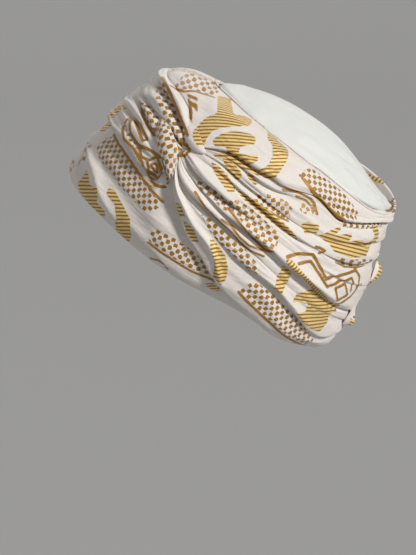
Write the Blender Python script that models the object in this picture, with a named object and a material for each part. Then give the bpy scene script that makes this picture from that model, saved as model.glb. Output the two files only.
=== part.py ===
"""A soft tied head wrap: a plain domed crown inside a patterned band that is twisted at one temple.

The wrap leans back as it is worn. Every layer of cloth is placed on one former surface by its turn round
the head (0 at the wearer's left, -90 in front, 90 behind), its rise from the opening (0) to the upper
edge (1), and its distance out from that surface. The origin is the middle of the head opening.
"""

import math

import bpy
import numpy as np

# Driving sizes in metres and degrees
WRAP_LENGTH = 0.236
WRAP_WIDTH = 0.194
WRAP_HEIGHT = 0.121
CROWN_RISE = 0.022
CROWN_SHIFT = 0.003
AXIS_LEAN = 34.0
EAR_DIP = 0.0055
EAR_DIP_SPREAD = 34.0
NAPE_DIP = 0.0045
NAPE_DIP_SPREAD = 15.0
RIM_DIP_RISE = 0.4
BROW_RISE = 0.5
BROW_SHOWS = 0.026
CLOTH_WALL = 0.0016
LAYER_GAP = 0.0007
FOLD_HEIGHT = 0.004
FOLD_DROP = 0.004
HEM_OVERLAP = 0.009
CROWN_DENT = 0.0035
CROWN_DENT_SPREAD = 50.0
REAR_STAND = 0.009
REAR_STAND_SPREAD = 32.0
STRAND_WIDTH = 0.015
STRAND_HEIGHT = 0.0045
STRAND_SEAT = 0.00095
END_LENGTH = 0.014
END_WIDTH = 0.015
END_SEAT = 0.0003

# Depths below the former: cloth lies at one of three levels, each a wall and a gap under the last
LEVEL = CLOTH_WALL + LAYER_GAP
UNDER = -LEVEL
FACET_SAG = 0.00035
DEEP = -2.0 * LEVEL - FACET_SAG
FOLD_FOOT = 0.2 * UNDER
BROW_LEVEL = FOLD_FOOT + UNDER - FACET_SAG

# The section of one fold: where it starts to swell below the fold above, and how far out it is there,
# both as shares, then the share of the way up from its lip to its crest, and how far out its lip is
SWELL_RISE = 0.55
SWELL_OUT = 0.4
CREST_RISE = 0.3
LIP_OUT = 0.3
HEM_HEIGHT = 0.4

# Folds are flatter where they wrap round the front and the back, and lie flat in the bed of the knot
FLAT_FROM = 45.0
FLAT_AT = 80.0
FLAT_SHARE = 0.65
FLAT_SINK = 0.25
KNOT_BED = 15.0

# Turns where one cloth passes under the next, and of the places that stand out or dip
KNOT_TURN = -33.0
FAR_SEAM_TURN = 198.0
EAR_TURN = -14.0
NAPE_TURN = 39.0
BACK_TURN = 90.0
REAR_STAND_TURN = 120.0
CROWN_DENT_TURN = 110.0

# One row for each level section of the former
# rise, height as a share of WRAP_HEIGHT, half length and half width as shares of half the wrap's,
# shift back as a share of half the length, raise in front as a share of WRAP_HEIGHT
FORMER = np.array([
    (0.000, 0.000, 0.953, 0.845, 0.000, 0.000),
    (0.055, 0.058, 0.996, 0.907, 0.000, 0.000),
    (0.230, 0.256, 1.000, 0.979, 0.000, 0.000),
    (0.445, 0.504, 0.987, 1.000, 0.000, 0.000),
    (0.600, 0.678, 0.932, 0.959, 0.000, 0.000),
    (0.750, 0.835, 0.881, 0.897, 0.008, 0.002),
    (0.890, 0.959, 0.797, 0.784, 0.050, -0.004),
    (1.000, 1.000, 0.669, 0.639, 0.157, 0.030),
])

# Edges of the upper wrap: its lip over the folds below, and its upper edge against the crown
# turn, lip, upper edge
UPPER_EDGES = np.array([
    (-95, 0.765, 1.000),
    (-80, 0.755, 1.000),
    (-60, 0.730, 1.000),
    (-50, 0.700, 1.000),
    (-42, 0.660, 1.000),
    (-34, 0.615, 1.000),
    (-25, 0.655, 1.000),
    (-15, 0.695, 1.000),
    (0, 0.715, 1.000),
    (12, 0.735, 0.980),
    (22, 0.750, 0.950),
    (35, 0.725, 0.900),
    (47, 0.740, 0.868),
    (60, 0.780, 0.860),
    (75, 0.800, 0.880),
    (95, 0.820, 0.930),
    (115, 0.820, 0.970),
    (140, 0.810, 0.990),
    (175, 0.790, 1.000),
    (220, 0.765, 1.000),
    (265, 0.765, 1.000),
])

# Folds of the side drape, which fan out from the knot and run round the nape to the far seam
# columns: the rise of the fold's lip at each turn of DRAPE_TURNS, then its height as a share of FOLD_HEIGHT
DRAPE_TURNS = (-33, -25, -15, -5, 5, 15, 30, 45, 60, 75, 95, 130, 165, 198)
DRAPE_FOLDS = {
    "temple_fold": (
        0.598, 0.612, 0.625, 0.612, 0.588, 0.578, 0.590,
        0.630, 0.670, 0.690, 0.700, 0.695, 0.685, 0.680, 0.8,
    ),
    "gold_fold": (
        0.580, 0.576, 0.572, 0.560, 0.542, 0.526, 0.522,
        0.512, 0.545, 0.570, 0.580, 0.580, 0.588, 0.595, 0.7,
    ),
    "wide_fold": (
        0.545, 0.505, 0.475, 0.447, 0.420, 0.400, 0.352,
        0.335, 0.310, 0.290, 0.290, 0.350, 0.445, 0.515, 1.4,
    ),
    "ear_fold": (
        0.520, 0.465, 0.408, 0.378, 0.338, 0.292, 0.215,
        0.165, 0.150, 0.150, 0.160, 0.210, 0.320, 0.425, 1.1,
    ),
    "low_fold": (
        0.500, 0.390, 0.318, 0.270, 0.205, 0.160, 0.100,
        0.075, 0.065, 0.065, 0.070, 0.105, 0.220, 0.380, 0.9,
    ),
}
DRAPE_HEM = (0.480, 0.350, 0.240, 0.180, 0.105, 0.062, 0.024, 0.006, 0.002, 0.004, 0.006, 0.025, 0.140, 0.340)

# Folds gathered from the front of the crown down to the knot, which come round from the far seam
# columns: the rise of the fold's lip at each turn of GATHER_TURNS, then its height as a share of FOLD_HEIGHT
GATHER_TURNS = (-33, -36, -42, -50, -60, -70, -80, -95, -115, -140, -162)
GATHER_FOLDS = {
    "dotted_fold": (0.590, 0.590, 0.606, 0.612, 0.636, 0.658, 0.668, 0.680, 0.690, 0.690, 0.680, 0.9),
    "strand_fold": (0.550, 0.550, 0.540, 0.545, 0.566, 0.585, 0.592, 0.600, 0.600, 0.600, 0.595, 0.9),
    "pale_fold": (0.520, 0.520, 0.500, 0.508, 0.524, 0.530, 0.534, 0.536, 0.530, 0.520, 0.515, 0.8),
    "nested_fold": (0.480, 0.480, 0.445, 0.440, 0.458, 0.466, 0.470, 0.466, 0.450, 0.435, 0.425, 0.8),
}
GATHER_HEM = (0.430, 0.430, 0.368, 0.368, 0.380, 0.398, 0.408, 0.408, 0.390, 0.365, 0.340)

# Soft ridges that run across the brow wrap and the upper wrap
# columns: start, middle and end as turn and rise, the height as a share of FOLD_HEIGHT, the half width
BROW_RIDGES = {
    "brow_ridge": ((-98, 0.290), (-66, 0.185), (-36, 0.020), 0.55, 0.0090),
    "temple_ridge": ((-86, 0.400), (-50, 0.335), (-6, 0.200), 0.50, 0.0080),
    "far_low_ridge": ((-110, 0.150), (-150, 0.110), (-190, 0.160), 0.45, 0.0100),
    "far_high_ridge": ((-100, 0.300), (-145, 0.260), (-190, 0.330), 0.45, 0.0100),
}
UPPER_RIDGES = {
    "peak_ridge": ((-120, 0.815), (-70, 0.790), (-34, 0.655), 0.75, 0.0065),
    "panel_ridge": ((-30, 0.690), (-8, 0.745), (14, 0.765), 0.25, 0.0100),
    "rear_ridge": ((6, 0.800), (24, 0.810), (44, 0.755), 0.30, 0.0080),
}

# Strands of the knot: the middle line as turn and rise, and the width as a share of STRAND_WIDTH
KNOT_STRANDS = {
    "knot_loop": (
        (-48.0, 0.592, 0.55),
        (-42.5, 0.572, 1.00),
        (-36.5, 0.537, 1.05),
        (-31.5, 0.492, 0.80),
        (-28.0, 0.442, 0.55),
        (-25.0, 0.397, 0.38),
    ),
    "knot_band": (
        (-27.5, 0.668, 0.50),
        (-26.8, 0.632, 0.80),
        (-27.6, 0.595, 0.85),
        (-29.3, 0.560, 0.50),
    ),
}

# Ends of the cloth tucked in behind: turn and rise of the root's middle, which way the tip points
# (degrees from straight down), and how far the tip stands out
TUCKED_ENDS = {
    "upper_tucked_end": (88.0, 0.440, 180.0, 0.0045),
    "lower_tucked_end": (80.0, 0.320, -10.0, 0.0050),
}

# Grids of the pieces: columns run round the head, and rows run up
BROW_COLUMNS = 72
BROW_ROWS = 11
UPPER_COLUMNS = 60
UPPER_ROWS = 8
CAP_COLUMNS = 40
CAP_ROWS = (0.74, 0.80, 0.85, 0.90, 0.95, 1.00)
DRAPE_COLUMNS = 27
GATHER_COLUMNS = 20
DOME_RINGS = (0.86, 0.72, 0.56, 0.38, 0.19, 0.00)

# Finishes: colour, roughness
CROWN_COTTON = ("crown_cotton", (0.78, 0.80, 0.78, 1.0), 0.85)
PATTERNED_COTTON = ("patterned_cotton", (0.72, 0.60, 0.40, 1.0), 0.80)

LEAN_COS = math.cos(math.radians(AXIS_LEAN))
LEAN_SIN = math.sin(math.radians(AXIS_LEAN))


def smooth(x, stations, values):
    """A smooth curve through the values at the stations, sloped at each as its neighbours ask."""
    stations = np.asarray(stations, float)
    values = np.asarray(values, float)
    if stations[0] > stations[-1]:
        stations, values = stations[::-1], values[::-1]
    x = np.clip(x, stations[0], stations[-1])
    slopes = np.gradient(values, stations)
    i = np.clip(np.searchsorted(stations, x, side="right") - 1, 0, len(stations) - 2)
    step = stations[i + 1] - stations[i]
    t = (x - stations[i]) / step
    start = (2 * t**3 - 3 * t**2 + 1) * values[i] + (t**3 - 2 * t**2 + t) * step * slopes[i]
    end = (3 * t**2 - 2 * t**3) * values[i + 1] + (t**3 - t**2) * step * slopes[i + 1]
    return start + end


def leaned(along, across, up):
    """Turns a point of the upright wrap back by its lean."""
    return np.stack([along * LEAN_COS + up * LEAN_SIN, across, up * LEAN_COS - along * LEAN_SIN], axis=-1)


def former(turn, rise):
    """A point of the former: an ellipse at each rise, whose sizes run smoothly from row to row."""
    height, long, wide, shift, front = (smooth(rise, FORMER[:, 0], FORMER[:, k]) for k in range(1, 6))
    angle = np.radians(turn)
    along = 0.5 * WRAP_LENGTH * (long * np.sin(angle) + shift)
    across = -0.5 * WRAP_WIDTH * wide * np.cos(angle)
    up = WRAP_HEIGHT * (height + front * np.maximum(-np.sin(angle), 0.0) ** 2)
    return leaned(along, across, up - rim_dip(turn) * (1.0 - blend(rise, 0.0, RIM_DIP_RISE)))


def rim_dip(turn):
    """How far the rim dips over each ear and beside the nape, alike on both sides."""
    side = BACK_TURN - np.abs(near(turn, BACK_TURN) - BACK_TURN)
    ear = EAR_DIP * bump(side, EAR_TURN, EAR_DIP_SPREAD)
    return ear + NAPE_DIP * bump(side, NAPE_TURN, NAPE_DIP_SPREAD)


def skin(turn, rise, out):
    """The point at a distance out from the former, along the former's own normal."""
    turn, rise, out = np.broadcast_arrays(np.asarray(turn, float), rise, out)
    along = former(turn + 0.5, rise) - former(turn - 0.5, rise)
    up = former(turn, np.minimum(rise + 0.01, 1.0)) - former(turn, np.maximum(rise - 0.01, 0.0))
    normal = np.cross(along, up)
    normal /= np.linalg.norm(normal, axis=-1, keepdims=True)
    return former(turn, rise) + normal * out[..., None]


def bump(x, middle, half_width):
    """A rounded bump: 1 at the middle, and almost 0 two half widths away."""
    return np.exp(-(((near(x, middle) - middle) / half_width) ** 2))


def near(turn, middle):
    """The same turn, brought to within half a circle of the middle."""
    return middle + (turn - middle + 180.0) % 360.0 - 180.0


def ridge(turn, rise, row):
    """A rounded ridge along a curve through three points, which fades out at both ends."""
    start, middle, end, height, half_width = row
    turn = near(turn, middle[0])
    knots = sorted((start, middle, end))
    turns = [point[0] for point in knots]
    line = smooth(turn, turns, [point[1] for point in knots])
    off = (rise - line) * WRAP_HEIGHT / half_width
    share = np.clip((turn - turns[0]) / (turns[2] - turns[0]), 0.0, 1.0)
    fade = np.sin(np.pi * share) ** 0.7
    return height * FOLD_HEIGHT * fade * np.exp(-off * off)


def blend(x, lo, hi):
    """0 up to lo, 1 from hi, and a smooth turn between."""
    t = np.clip((x - lo) / (hi - lo), 0.0, 1.0)
    return t * t * (3 - 2 * t)


def material(finish):
    """The material of a finish, made once."""
    name, colour, roughness = finish
    made = bpy.data.materials.get(name)
    if made is None:
        made = bpy.data.materials.new(name)
        made.use_nodes = True
        shader = made.node_tree.nodes["Principled BSDF"]
        shader.inputs["Base Color"].default_value = colour
        shader.inputs["Roughness"].default_value = roughness
        shader.inputs["Metallic"].default_value = 0.0
    return made


def closed_cloth(name, outer, inner, ring, finish):
    """One closed wall between two grids of points, rows by columns.

    A ring joins its last column to its first. A last row that is a single point closes as a pole.
    """
    rows, columns = outer.shape[:2]
    pole = bool(np.allclose(outer[-1], outer[-1, 0]))
    full_rows = rows - 1 if pole else rows
    points = np.concatenate([outer[:full_rows].reshape(-1, 3), inner[:full_rows].reshape(-1, 3)])
    half = full_rows * columns
    if pole:
        points = np.concatenate([points, outer[-1, :1], inner[-1, :1]])
    last = columns if ring else columns - 1
    faces = []
    for row in range(full_rows - 1):
        for column in range(last):
            beside = (column + 1) % columns
            a, b = row * columns + column, row * columns + beside
            c, d = b + columns, a + columns
            faces += [(a, b, c, d), (half + d, half + c, half + b, half + a)]
    for column in range(last):
        beside = (column + 1) % columns
        faces.append((half + column, half + beside, beside, column))
        top, top_beside = (full_rows - 1) * columns + column, (full_rows - 1) * columns + beside
        if pole:
            faces += [(top, top_beside, 2 * half), (half + top_beside, half + top, 2 * half + 1)]
        else:
            faces.append((top, top_beside, half + top_beside, half + top))
    if not ring:
        for row in range(full_rows - 1):
            a, d = row * columns, (row + 1) * columns
            b, c = a + columns - 1, d + columns - 1
            faces += [(a, d, half + d, half + a), (c, b, half + b, half + c)]
    mesh = bpy.data.meshes.new(name)
    mesh.from_pydata(points.tolist(), [], faces)
    volume = sum(face.center.dot(face.normal) * face.area for face in mesh.polygons)
    if volume < 0:
        mesh.flip_normals()
    mesh.materials.append(material(finish))
    mesh.shade_smooth()
    piece = bpy.data.objects.new(name, mesh)
    bpy.context.scene.collection.objects.link(piece)
    return piece


def wall(name, turn, rise, out, ring):
    """A wall of patterned cloth, whose outer face lies at the distance out."""
    outer = skin(turn, rise, out)
    inner = skin(turn, rise, out - CLOTH_WALL)
    closed_cloth(name, outer, inner, ring, PATTERNED_COTTON)


def upper_lip(turn):
    """Rise of the upper wrap's lip, at any turn."""
    return smooth(near(turn, 85), UPPER_EDGES[:, 0], UPPER_EDGES[:, 1])


def upper_edge(turn):
    """Rise of the upper wrap's upper edge, at any turn."""
    return smooth(near(turn, 85), UPPER_EDGES[:, 0], UPPER_EDGES[:, 2])


def relief(turn):
    """Share of a fold's height: full at the side, less round the front and the back, and none in the knot."""
    flat = blend(np.abs(near(turn, 0)), FLAT_FROM, FLAT_AT)
    bed = blend(np.abs(near(turn, KNOT_TURN) - KNOT_TURN), 1.0, KNOT_BED)
    return (1.0 - FLAT_SHARE * flat) * bed


def sunk(turn):
    """How far the folds lie below the former where they wrap round the front and the back."""
    return -FLAT_SINK * FOLD_HEIGHT * blend(np.abs(near(turn, 0)), FLAT_FROM, FLAT_AT)


def drape_profile(turn):
    """Rises and distances out of the side drape at each turn."""
    turn = near(turn, 82)
    lines = [(smooth(turn, DRAPE_TURNS, row[:-1]), row[-1]) for row in DRAPE_FOLDS.values()]
    return pleats(turn, lines, smooth(turn, DRAPE_TURNS, DRAPE_HEM))


def gather_profile(turn):
    """Rises and distances out of the front gathers at each turn."""
    turn = near(turn, -100)
    lines = [(smooth(turn, GATHER_TURNS, row[:-1]), row[-1]) for row in GATHER_FOLDS.values()]
    return pleats(turn, lines, smooth(turn, GATHER_TURNS, GATHER_HEM))


def strip_rise(turn):
    """Height, as a share of rise, of the strip of folds that is hidden under the upper wrap's lip."""
    return np.minimum(HEM_OVERLAP / WRAP_HEIGHT, 0.35 * (upper_edge(turn) - upper_lip(turn)))


def pleats(turn, lines, hem):
    """Rises and distances out of a pleated cloth, from its hidden top strip down to its hem.

    Each fold swells from the line under the fold above to its lip, then drops sharply under it.
    """
    lip = upper_lip(turn)
    flat = np.zeros(turn.shape)
    rises = [lip + strip_rise(turn), lip]
    outs = [flat + UNDER, flat + UNDER]
    above = lip
    for line, height in lines + [(hem, HEM_HEIGHT)]:
        gap = np.maximum(above - line, 0.004)
        crest = height * FOLD_HEIGHT * relief(turn) + sunk(turn)
        crest_rise = line + np.minimum(CREST_RISE * gap, FOLD_DROP / WRAP_HEIGHT)
        rises += [above - SWELL_RISE * gap, crest_rise, line]
        outs += [SWELL_OUT * crest, crest, LIP_OUT * crest + FOLD_FOOT]
        above = line
    return np.array(rises), np.array(outs)


def profile_out(rises, outs, rise):
    """Distance out at a rise, read along a profile whose rises run downwards."""
    out = outs[-1] + 0.0 * rise
    for k in range(len(rises) - 1):
        span = np.maximum(rises[k] - rises[k + 1], 1e-6)
        share = (rises[k] - rise) / span
        inside = (share >= 0.0) & (share <= 1.0)
        out = np.where(inside, outs[k] + share * (outs[k + 1] - outs[k]), out)
    return out


def folds_hem(turn):
    """Rise of the lowest edge of the drape or the gathers, at any turn."""
    drape = smooth(near(turn, 82), DRAPE_TURNS, DRAPE_HEM)
    gathers = smooth(near(turn, -100), GATHER_TURNS, GATHER_HEM)
    on_drape = (near(turn, 82) > KNOT_TURN) & (near(turn, 82) < FAR_SEAM_TURN)
    return np.where(on_drape, drape, gathers)


def brow_out(turn, rise):
    """Distance out of the brow wrap: close under the feet of the folds, and full where it shows."""
    shown = blend((folds_hem(turn) - rise) * WRAP_HEIGHT, 0.0, BROW_SHOWS)
    shown *= blend(rise * WRAP_HEIGHT, -2.0 * HEM_OVERLAP, HEM_OVERLAP)
    out = BROW_LEVEL * (1.0 - shown)
    for row in BROW_RIDGES.values():
        out = out + shown * ridge(turn, rise, row)
    return out


def upper_out(turn, rise):
    """Distance out of the upper wrap: its ridges, and the part behind that stands clear of the crown."""
    lip = upper_lip(turn)
    share = np.clip((rise - lip) / (upper_edge(turn) - lip), 0.0, 1.0)
    out = np.zeros(turn.shape)
    for row in UPPER_RIDGES.values():
        out = out + ridge(turn, rise, row) * blend(share, -0.2, 0.15)
    behind = bump(turn, REAR_STAND_TURN, REAR_STAND_SPREAD)
    return out + REAR_STAND * behind * blend(share, 0.2, 0.95)


def shown_out(turn, rise):
    """Distance out of whichever cloth is outermost at a place."""
    drape = profile_out(*drape_profile(turn), rise)
    gathers = profile_out(*gather_profile(turn), rise)
    on_drape = (near(turn, 82) > KNOT_TURN) & (near(turn, 82) < FAR_SEAM_TURN)
    folds = np.where(on_drape, drape, gathers)
    out = np.where(rise > upper_lip(turn), upper_out(turn, rise), folds)
    return np.where(rise < folds_hem(turn), brow_out(turn, rise), out)


def around(columns):
    """Evenly spaced turns all the way round, one for each column."""
    return np.linspace(-90.0, 270.0, columns, endpoint=False)


def brow_wrap():
    """The band round the brow and the nape, whose upper part lies under the folds."""
    turn, share = np.meshgrid(around(BROW_COLUMNS), np.linspace(0, 1, BROW_ROWS))
    rise = BROW_RISE * share
    wall("brow_wrap", turn, rise, brow_out(turn, rise), True)


def upper_wrap():
    """The wide flat fold above the knot, which runs round the crown and stands up behind."""
    turn, share = np.meshgrid(around(UPPER_COLUMNS), np.linspace(0, 1, UPPER_ROWS))
    rise = upper_lip(turn) + (upper_edge(turn) - upper_lip(turn)) * share
    wall("upper_wrap", turn, rise, upper_out(turn, rise), True)


def pleated(name, profile, first, last, columns):
    """A pleated cloth that runs from the knot round to its far end, with more columns near the knot."""
    turn = first + (last - first) * np.linspace(0, 1, columns) ** 1.25
    rise, out = profile(turn)
    wall(name, np.broadcast_to(turn, rise.shape), rise, out, False)


def cap_out(turn, rise):
    """Distance out of the crown cap: deep behind the tucked folds, and close under the upper wrap's edge."""
    tucked = upper_lip(turn) + strip_rise(turn) + 0.015
    return DEEP + LEVEL * blend(rise, tucked, tucked + 0.06)


def crown_cap():
    """The plain crown: a soft dome whose edge lies inside the upper wrap."""
    turn, rise = np.meshgrid(around(CAP_COLUMNS), CAP_ROWS)
    out = cap_out(turn, rise)
    edge = skin(turn, rise, out)
    under_edge = skin(turn, rise, out - CLOTH_WALL)
    closed_cloth("crown_cap", domed(edge, 0.0), domed(under_edge, CLOTH_WALL), True, CROWN_COTTON)


def domed(edge, depth):
    """Adds a dome to rings of points: rings shrink evenly as they climb a parabola towards a pole.

    The dome has a shallow dent behind, and lies a depth below its outer face.
    """
    ring = edge[-1]
    middle = ring.mean(axis=0)
    axis = leaned(0.0, 0.0, 1.0)
    back = leaned(1.0, 0.0, 0.0)
    dent = bump(around(len(ring)), CROWN_DENT_TURN, CROWN_DENT_SPREAD)
    rings = list(edge)
    for share in DOME_RINGS:
        climb = 1.0 - share * share
        shift = CROWN_SHIFT * climb * back - depth * min(1.0, 3.0 * climb) * axis
        hollow = CROWN_DENT * math.sin(math.pi * share) * dent[:, None]
        rings.append(middle + shift + (ring - middle) * share + (CROWN_RISE * climb - hollow) * axis)
    return np.array(rings)


def degree_length():
    """Length of cloth along one degree of turn, on average."""
    return np.radians(1.0) * 0.25 * (WRAP_LENGTH + WRAP_WIDTH)


def knot_strand(name, points):
    """A rounded strand of cloth that crosses the knot: a strip bowed outwards across its middle line."""
    along = np.linspace(0, 1, 13)
    stations = np.linspace(0, 1, len(points))
    x = smooth(along, stations, [point[0] for point in points]) * degree_length()
    y = smooth(along, stations, [point[1] for point in points]) * WRAP_HEIGHT
    width = smooth(along, stations, [point[2] for point in points])[:, None]
    heading = np.arctan2(np.gradient(y), np.gradient(x))[:, None]
    q = np.linspace(-1, 1, 9)[None, :]
    across = 0.5 * STRAND_WIDTH * width * q
    turn = (x[:, None] - across * np.sin(heading)) / degree_length()
    rise = (y[:, None] + across * np.cos(heading)) / WRAP_HEIGHT
    bow = STRAND_HEIGHT * np.sqrt(1.0 - q * q) * width
    wall(name, turn, rise, bed_under(turn, rise) + CLOTH_WALL + STRAND_SEAT + bow, False)


def bed_under(turn, rise):
    """How far out a piece must lie to clear the cloth under it: one value for each row across the piece.

    It is the highest cloth under the row or the rows beside it, so the piece clears it between rows too.
    """
    highest = shown_out(turn, rise).max(axis=1)
    before = np.append(highest[0], highest[:-1])
    after = np.append(highest[1:], highest[-1])
    return np.maximum(highest, np.maximum(before, after))[:, None]


def tucked_end(name, turn_at, rise_at, point_at, stand):
    """A soft end of the cloth that shows where it is tucked in: a bent tongue with a rounded tip."""
    u, v = np.meshgrid(np.linspace(-1, 1, 9), np.linspace(0, 1, 7))
    angle = math.radians(point_at)
    across = 0.5 * END_WIDTH * u * np.sqrt(1.0 - 0.7 * v * v)
    down = END_LENGTH * v
    turn = turn_at + (across * math.cos(angle) + down * math.sin(angle)) / degree_length()
    rise = rise_at - (down * math.cos(angle) - across * math.sin(angle)) / WRAP_HEIGHT
    out = bed_under(turn, rise) + CLOTH_WALL + END_SEAT + stand * v * v * (1 - 0.4 * u * u)
    wall(name, turn, rise, out, False)


def main():
    """Clears the scene and builds every piece of the wrap."""
    for item in list(bpy.data.objects):
        bpy.data.objects.remove(item, do_unlink=True)
    bpy.context.scene.unit_settings.system = "METRIC"
    crown_cap()
    brow_wrap()
    upper_wrap()
    half_gap = 0.5 * LAYER_GAP / degree_length()
    seam_in_front = FAR_SEAM_TURN - 360.0
    pleated("side_drape", drape_profile, KNOT_TURN + half_gap, FAR_SEAM_TURN - half_gap, DRAPE_COLUMNS)
    pleated("front_gathers", gather_profile, KNOT_TURN - half_gap, seam_in_front + half_gap, GATHER_COLUMNS)
    for name, points in KNOT_STRANDS.items():
        knot_strand(name, points)
    for name, place in TUCKED_ENDS.items():
        tucked_end(name, *place)


main()
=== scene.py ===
"""Looks of a soft tied head wrap: white cotton with gold woven motifs, twisted at one temple.

Every cloth is worked out on one former surface. A place on it has a turn round the head (0 at the wearer's
left, -90 in front, 90 behind), a rise from the opening (0) to the upper edge (1), and a distance out.
Lengths are in millimetres here and become metres where a mesh is made.
"""
import logging
import math
from dataclasses import dataclass
from enum import Enum
from typing import Sequence

import bpy
import numpy as np
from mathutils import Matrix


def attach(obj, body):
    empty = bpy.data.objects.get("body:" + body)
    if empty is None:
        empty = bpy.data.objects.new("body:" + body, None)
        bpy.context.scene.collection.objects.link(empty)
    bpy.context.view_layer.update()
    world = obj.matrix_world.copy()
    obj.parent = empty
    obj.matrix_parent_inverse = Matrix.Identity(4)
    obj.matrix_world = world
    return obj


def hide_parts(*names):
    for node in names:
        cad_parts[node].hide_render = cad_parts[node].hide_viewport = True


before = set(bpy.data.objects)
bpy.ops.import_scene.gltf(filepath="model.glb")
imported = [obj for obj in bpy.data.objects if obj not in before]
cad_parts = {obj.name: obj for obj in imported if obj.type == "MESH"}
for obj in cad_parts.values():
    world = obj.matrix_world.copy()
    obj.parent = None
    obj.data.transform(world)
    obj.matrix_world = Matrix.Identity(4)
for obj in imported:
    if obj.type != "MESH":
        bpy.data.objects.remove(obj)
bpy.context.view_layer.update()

MM = 0.001
BACK = 90.0
FRONT = -90.0
LOG = logging.getLogger("wrap")

Array = np.ndarray
Places = Sequence[tuple[float, ...]]


class Slot(Enum):
    """Material slots of the record."""

    CROWN = "crown_cotton"
    PATTERNED = "patterned_cotton"


class Held(Enum):
    """Ways in which a sheet of cloth is held."""

    FOLDED = "folded"
    GATHERED = "gathered"
    STRETCHED = "stretched"


class Weave(Enum):
    """Kinds of woven motif."""

    CHECKER = "checker"
    STRIPED = "striped"
    SOLID = "solid"


# Curves and small fields


def smooth(x: Array, stations: Array, values: Array) -> Array:
    """A smooth curve through values at stations: cubic Hermite pieces with the neighbours' mean slopes.

    Args:
        x: places to read the curve at, held to the stations' range.
        stations: where the values stand, running up or down.
        values: the curve's values.

    Returns:
        The curve at x.
    """
    stations = np.asarray(stations, float)
    values = np.asarray(values, float)
    if stations[0] > stations[-1]:
        stations, values = stations[::-1], values[::-1]
    x = np.clip(x, stations[0], stations[-1])
    slopes = np.gradient(values, stations)
    i = np.clip(np.searchsorted(stations, x, side="right") - 1, 0, len(stations) - 2)
    step = stations[i + 1] - stations[i]
    t = (x - stations[i]) / step
    start = (2 * t**3 - 3 * t**2 + 1) * values[i] + (t**3 - 2 * t**2 + t) * step * slopes[i]
    end = (3 * t**2 - 2 * t**3) * values[i + 1] + (t**3 - t**2) * step * slopes[i + 1]
    return start + end


def along(x: Array, places: Places, column: int = 1) -> Array:
    """Reads a table of places as a smooth curve of its first column."""
    table = np.asarray(places, float)
    return smooth(x, table[:, 0], table[:, column])


def near(turn: Array, middle: float) -> Array:
    """The same turn, brought to within half a circle of the middle."""
    return middle + (turn - middle + 180.0) % 360.0 - 180.0


def blend(x: Array, lo: float, hi: float) -> Array:
    """0 up to lo, 1 from hi, and a smooth turn between."""
    t = np.clip((x - lo) / (hi - lo), 0.0, 1.0)
    return t * t * (3 - 2 * t)


def bump(x: Array, middle: float, half_width: float) -> Array:
    """A rounded bump of a turn: 1 at the middle, and almost 0 two half widths away."""
    return np.exp(-(((near(x, middle) - middle) / half_width) ** 2))


def softened(rows: Array, times: int) -> Array:
    """Rounds the corners of curves that run down the rows, by averaging each row with its neighbours.

    Args:
        rows: the curves, one in each column.
        times: how often to average. The neighbours count half as much as the row itself.

    Returns:
        The rows, with the first and the last unchanged.
    """
    for _ in range(times):
        inner = 0.25 * rows[:-2] + 0.5 * rows[1:-1] + 0.25 * rows[2:]
        rows = np.concatenate([rows[:1], inner, rows[-1:]])
    return rows


# The former


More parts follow.
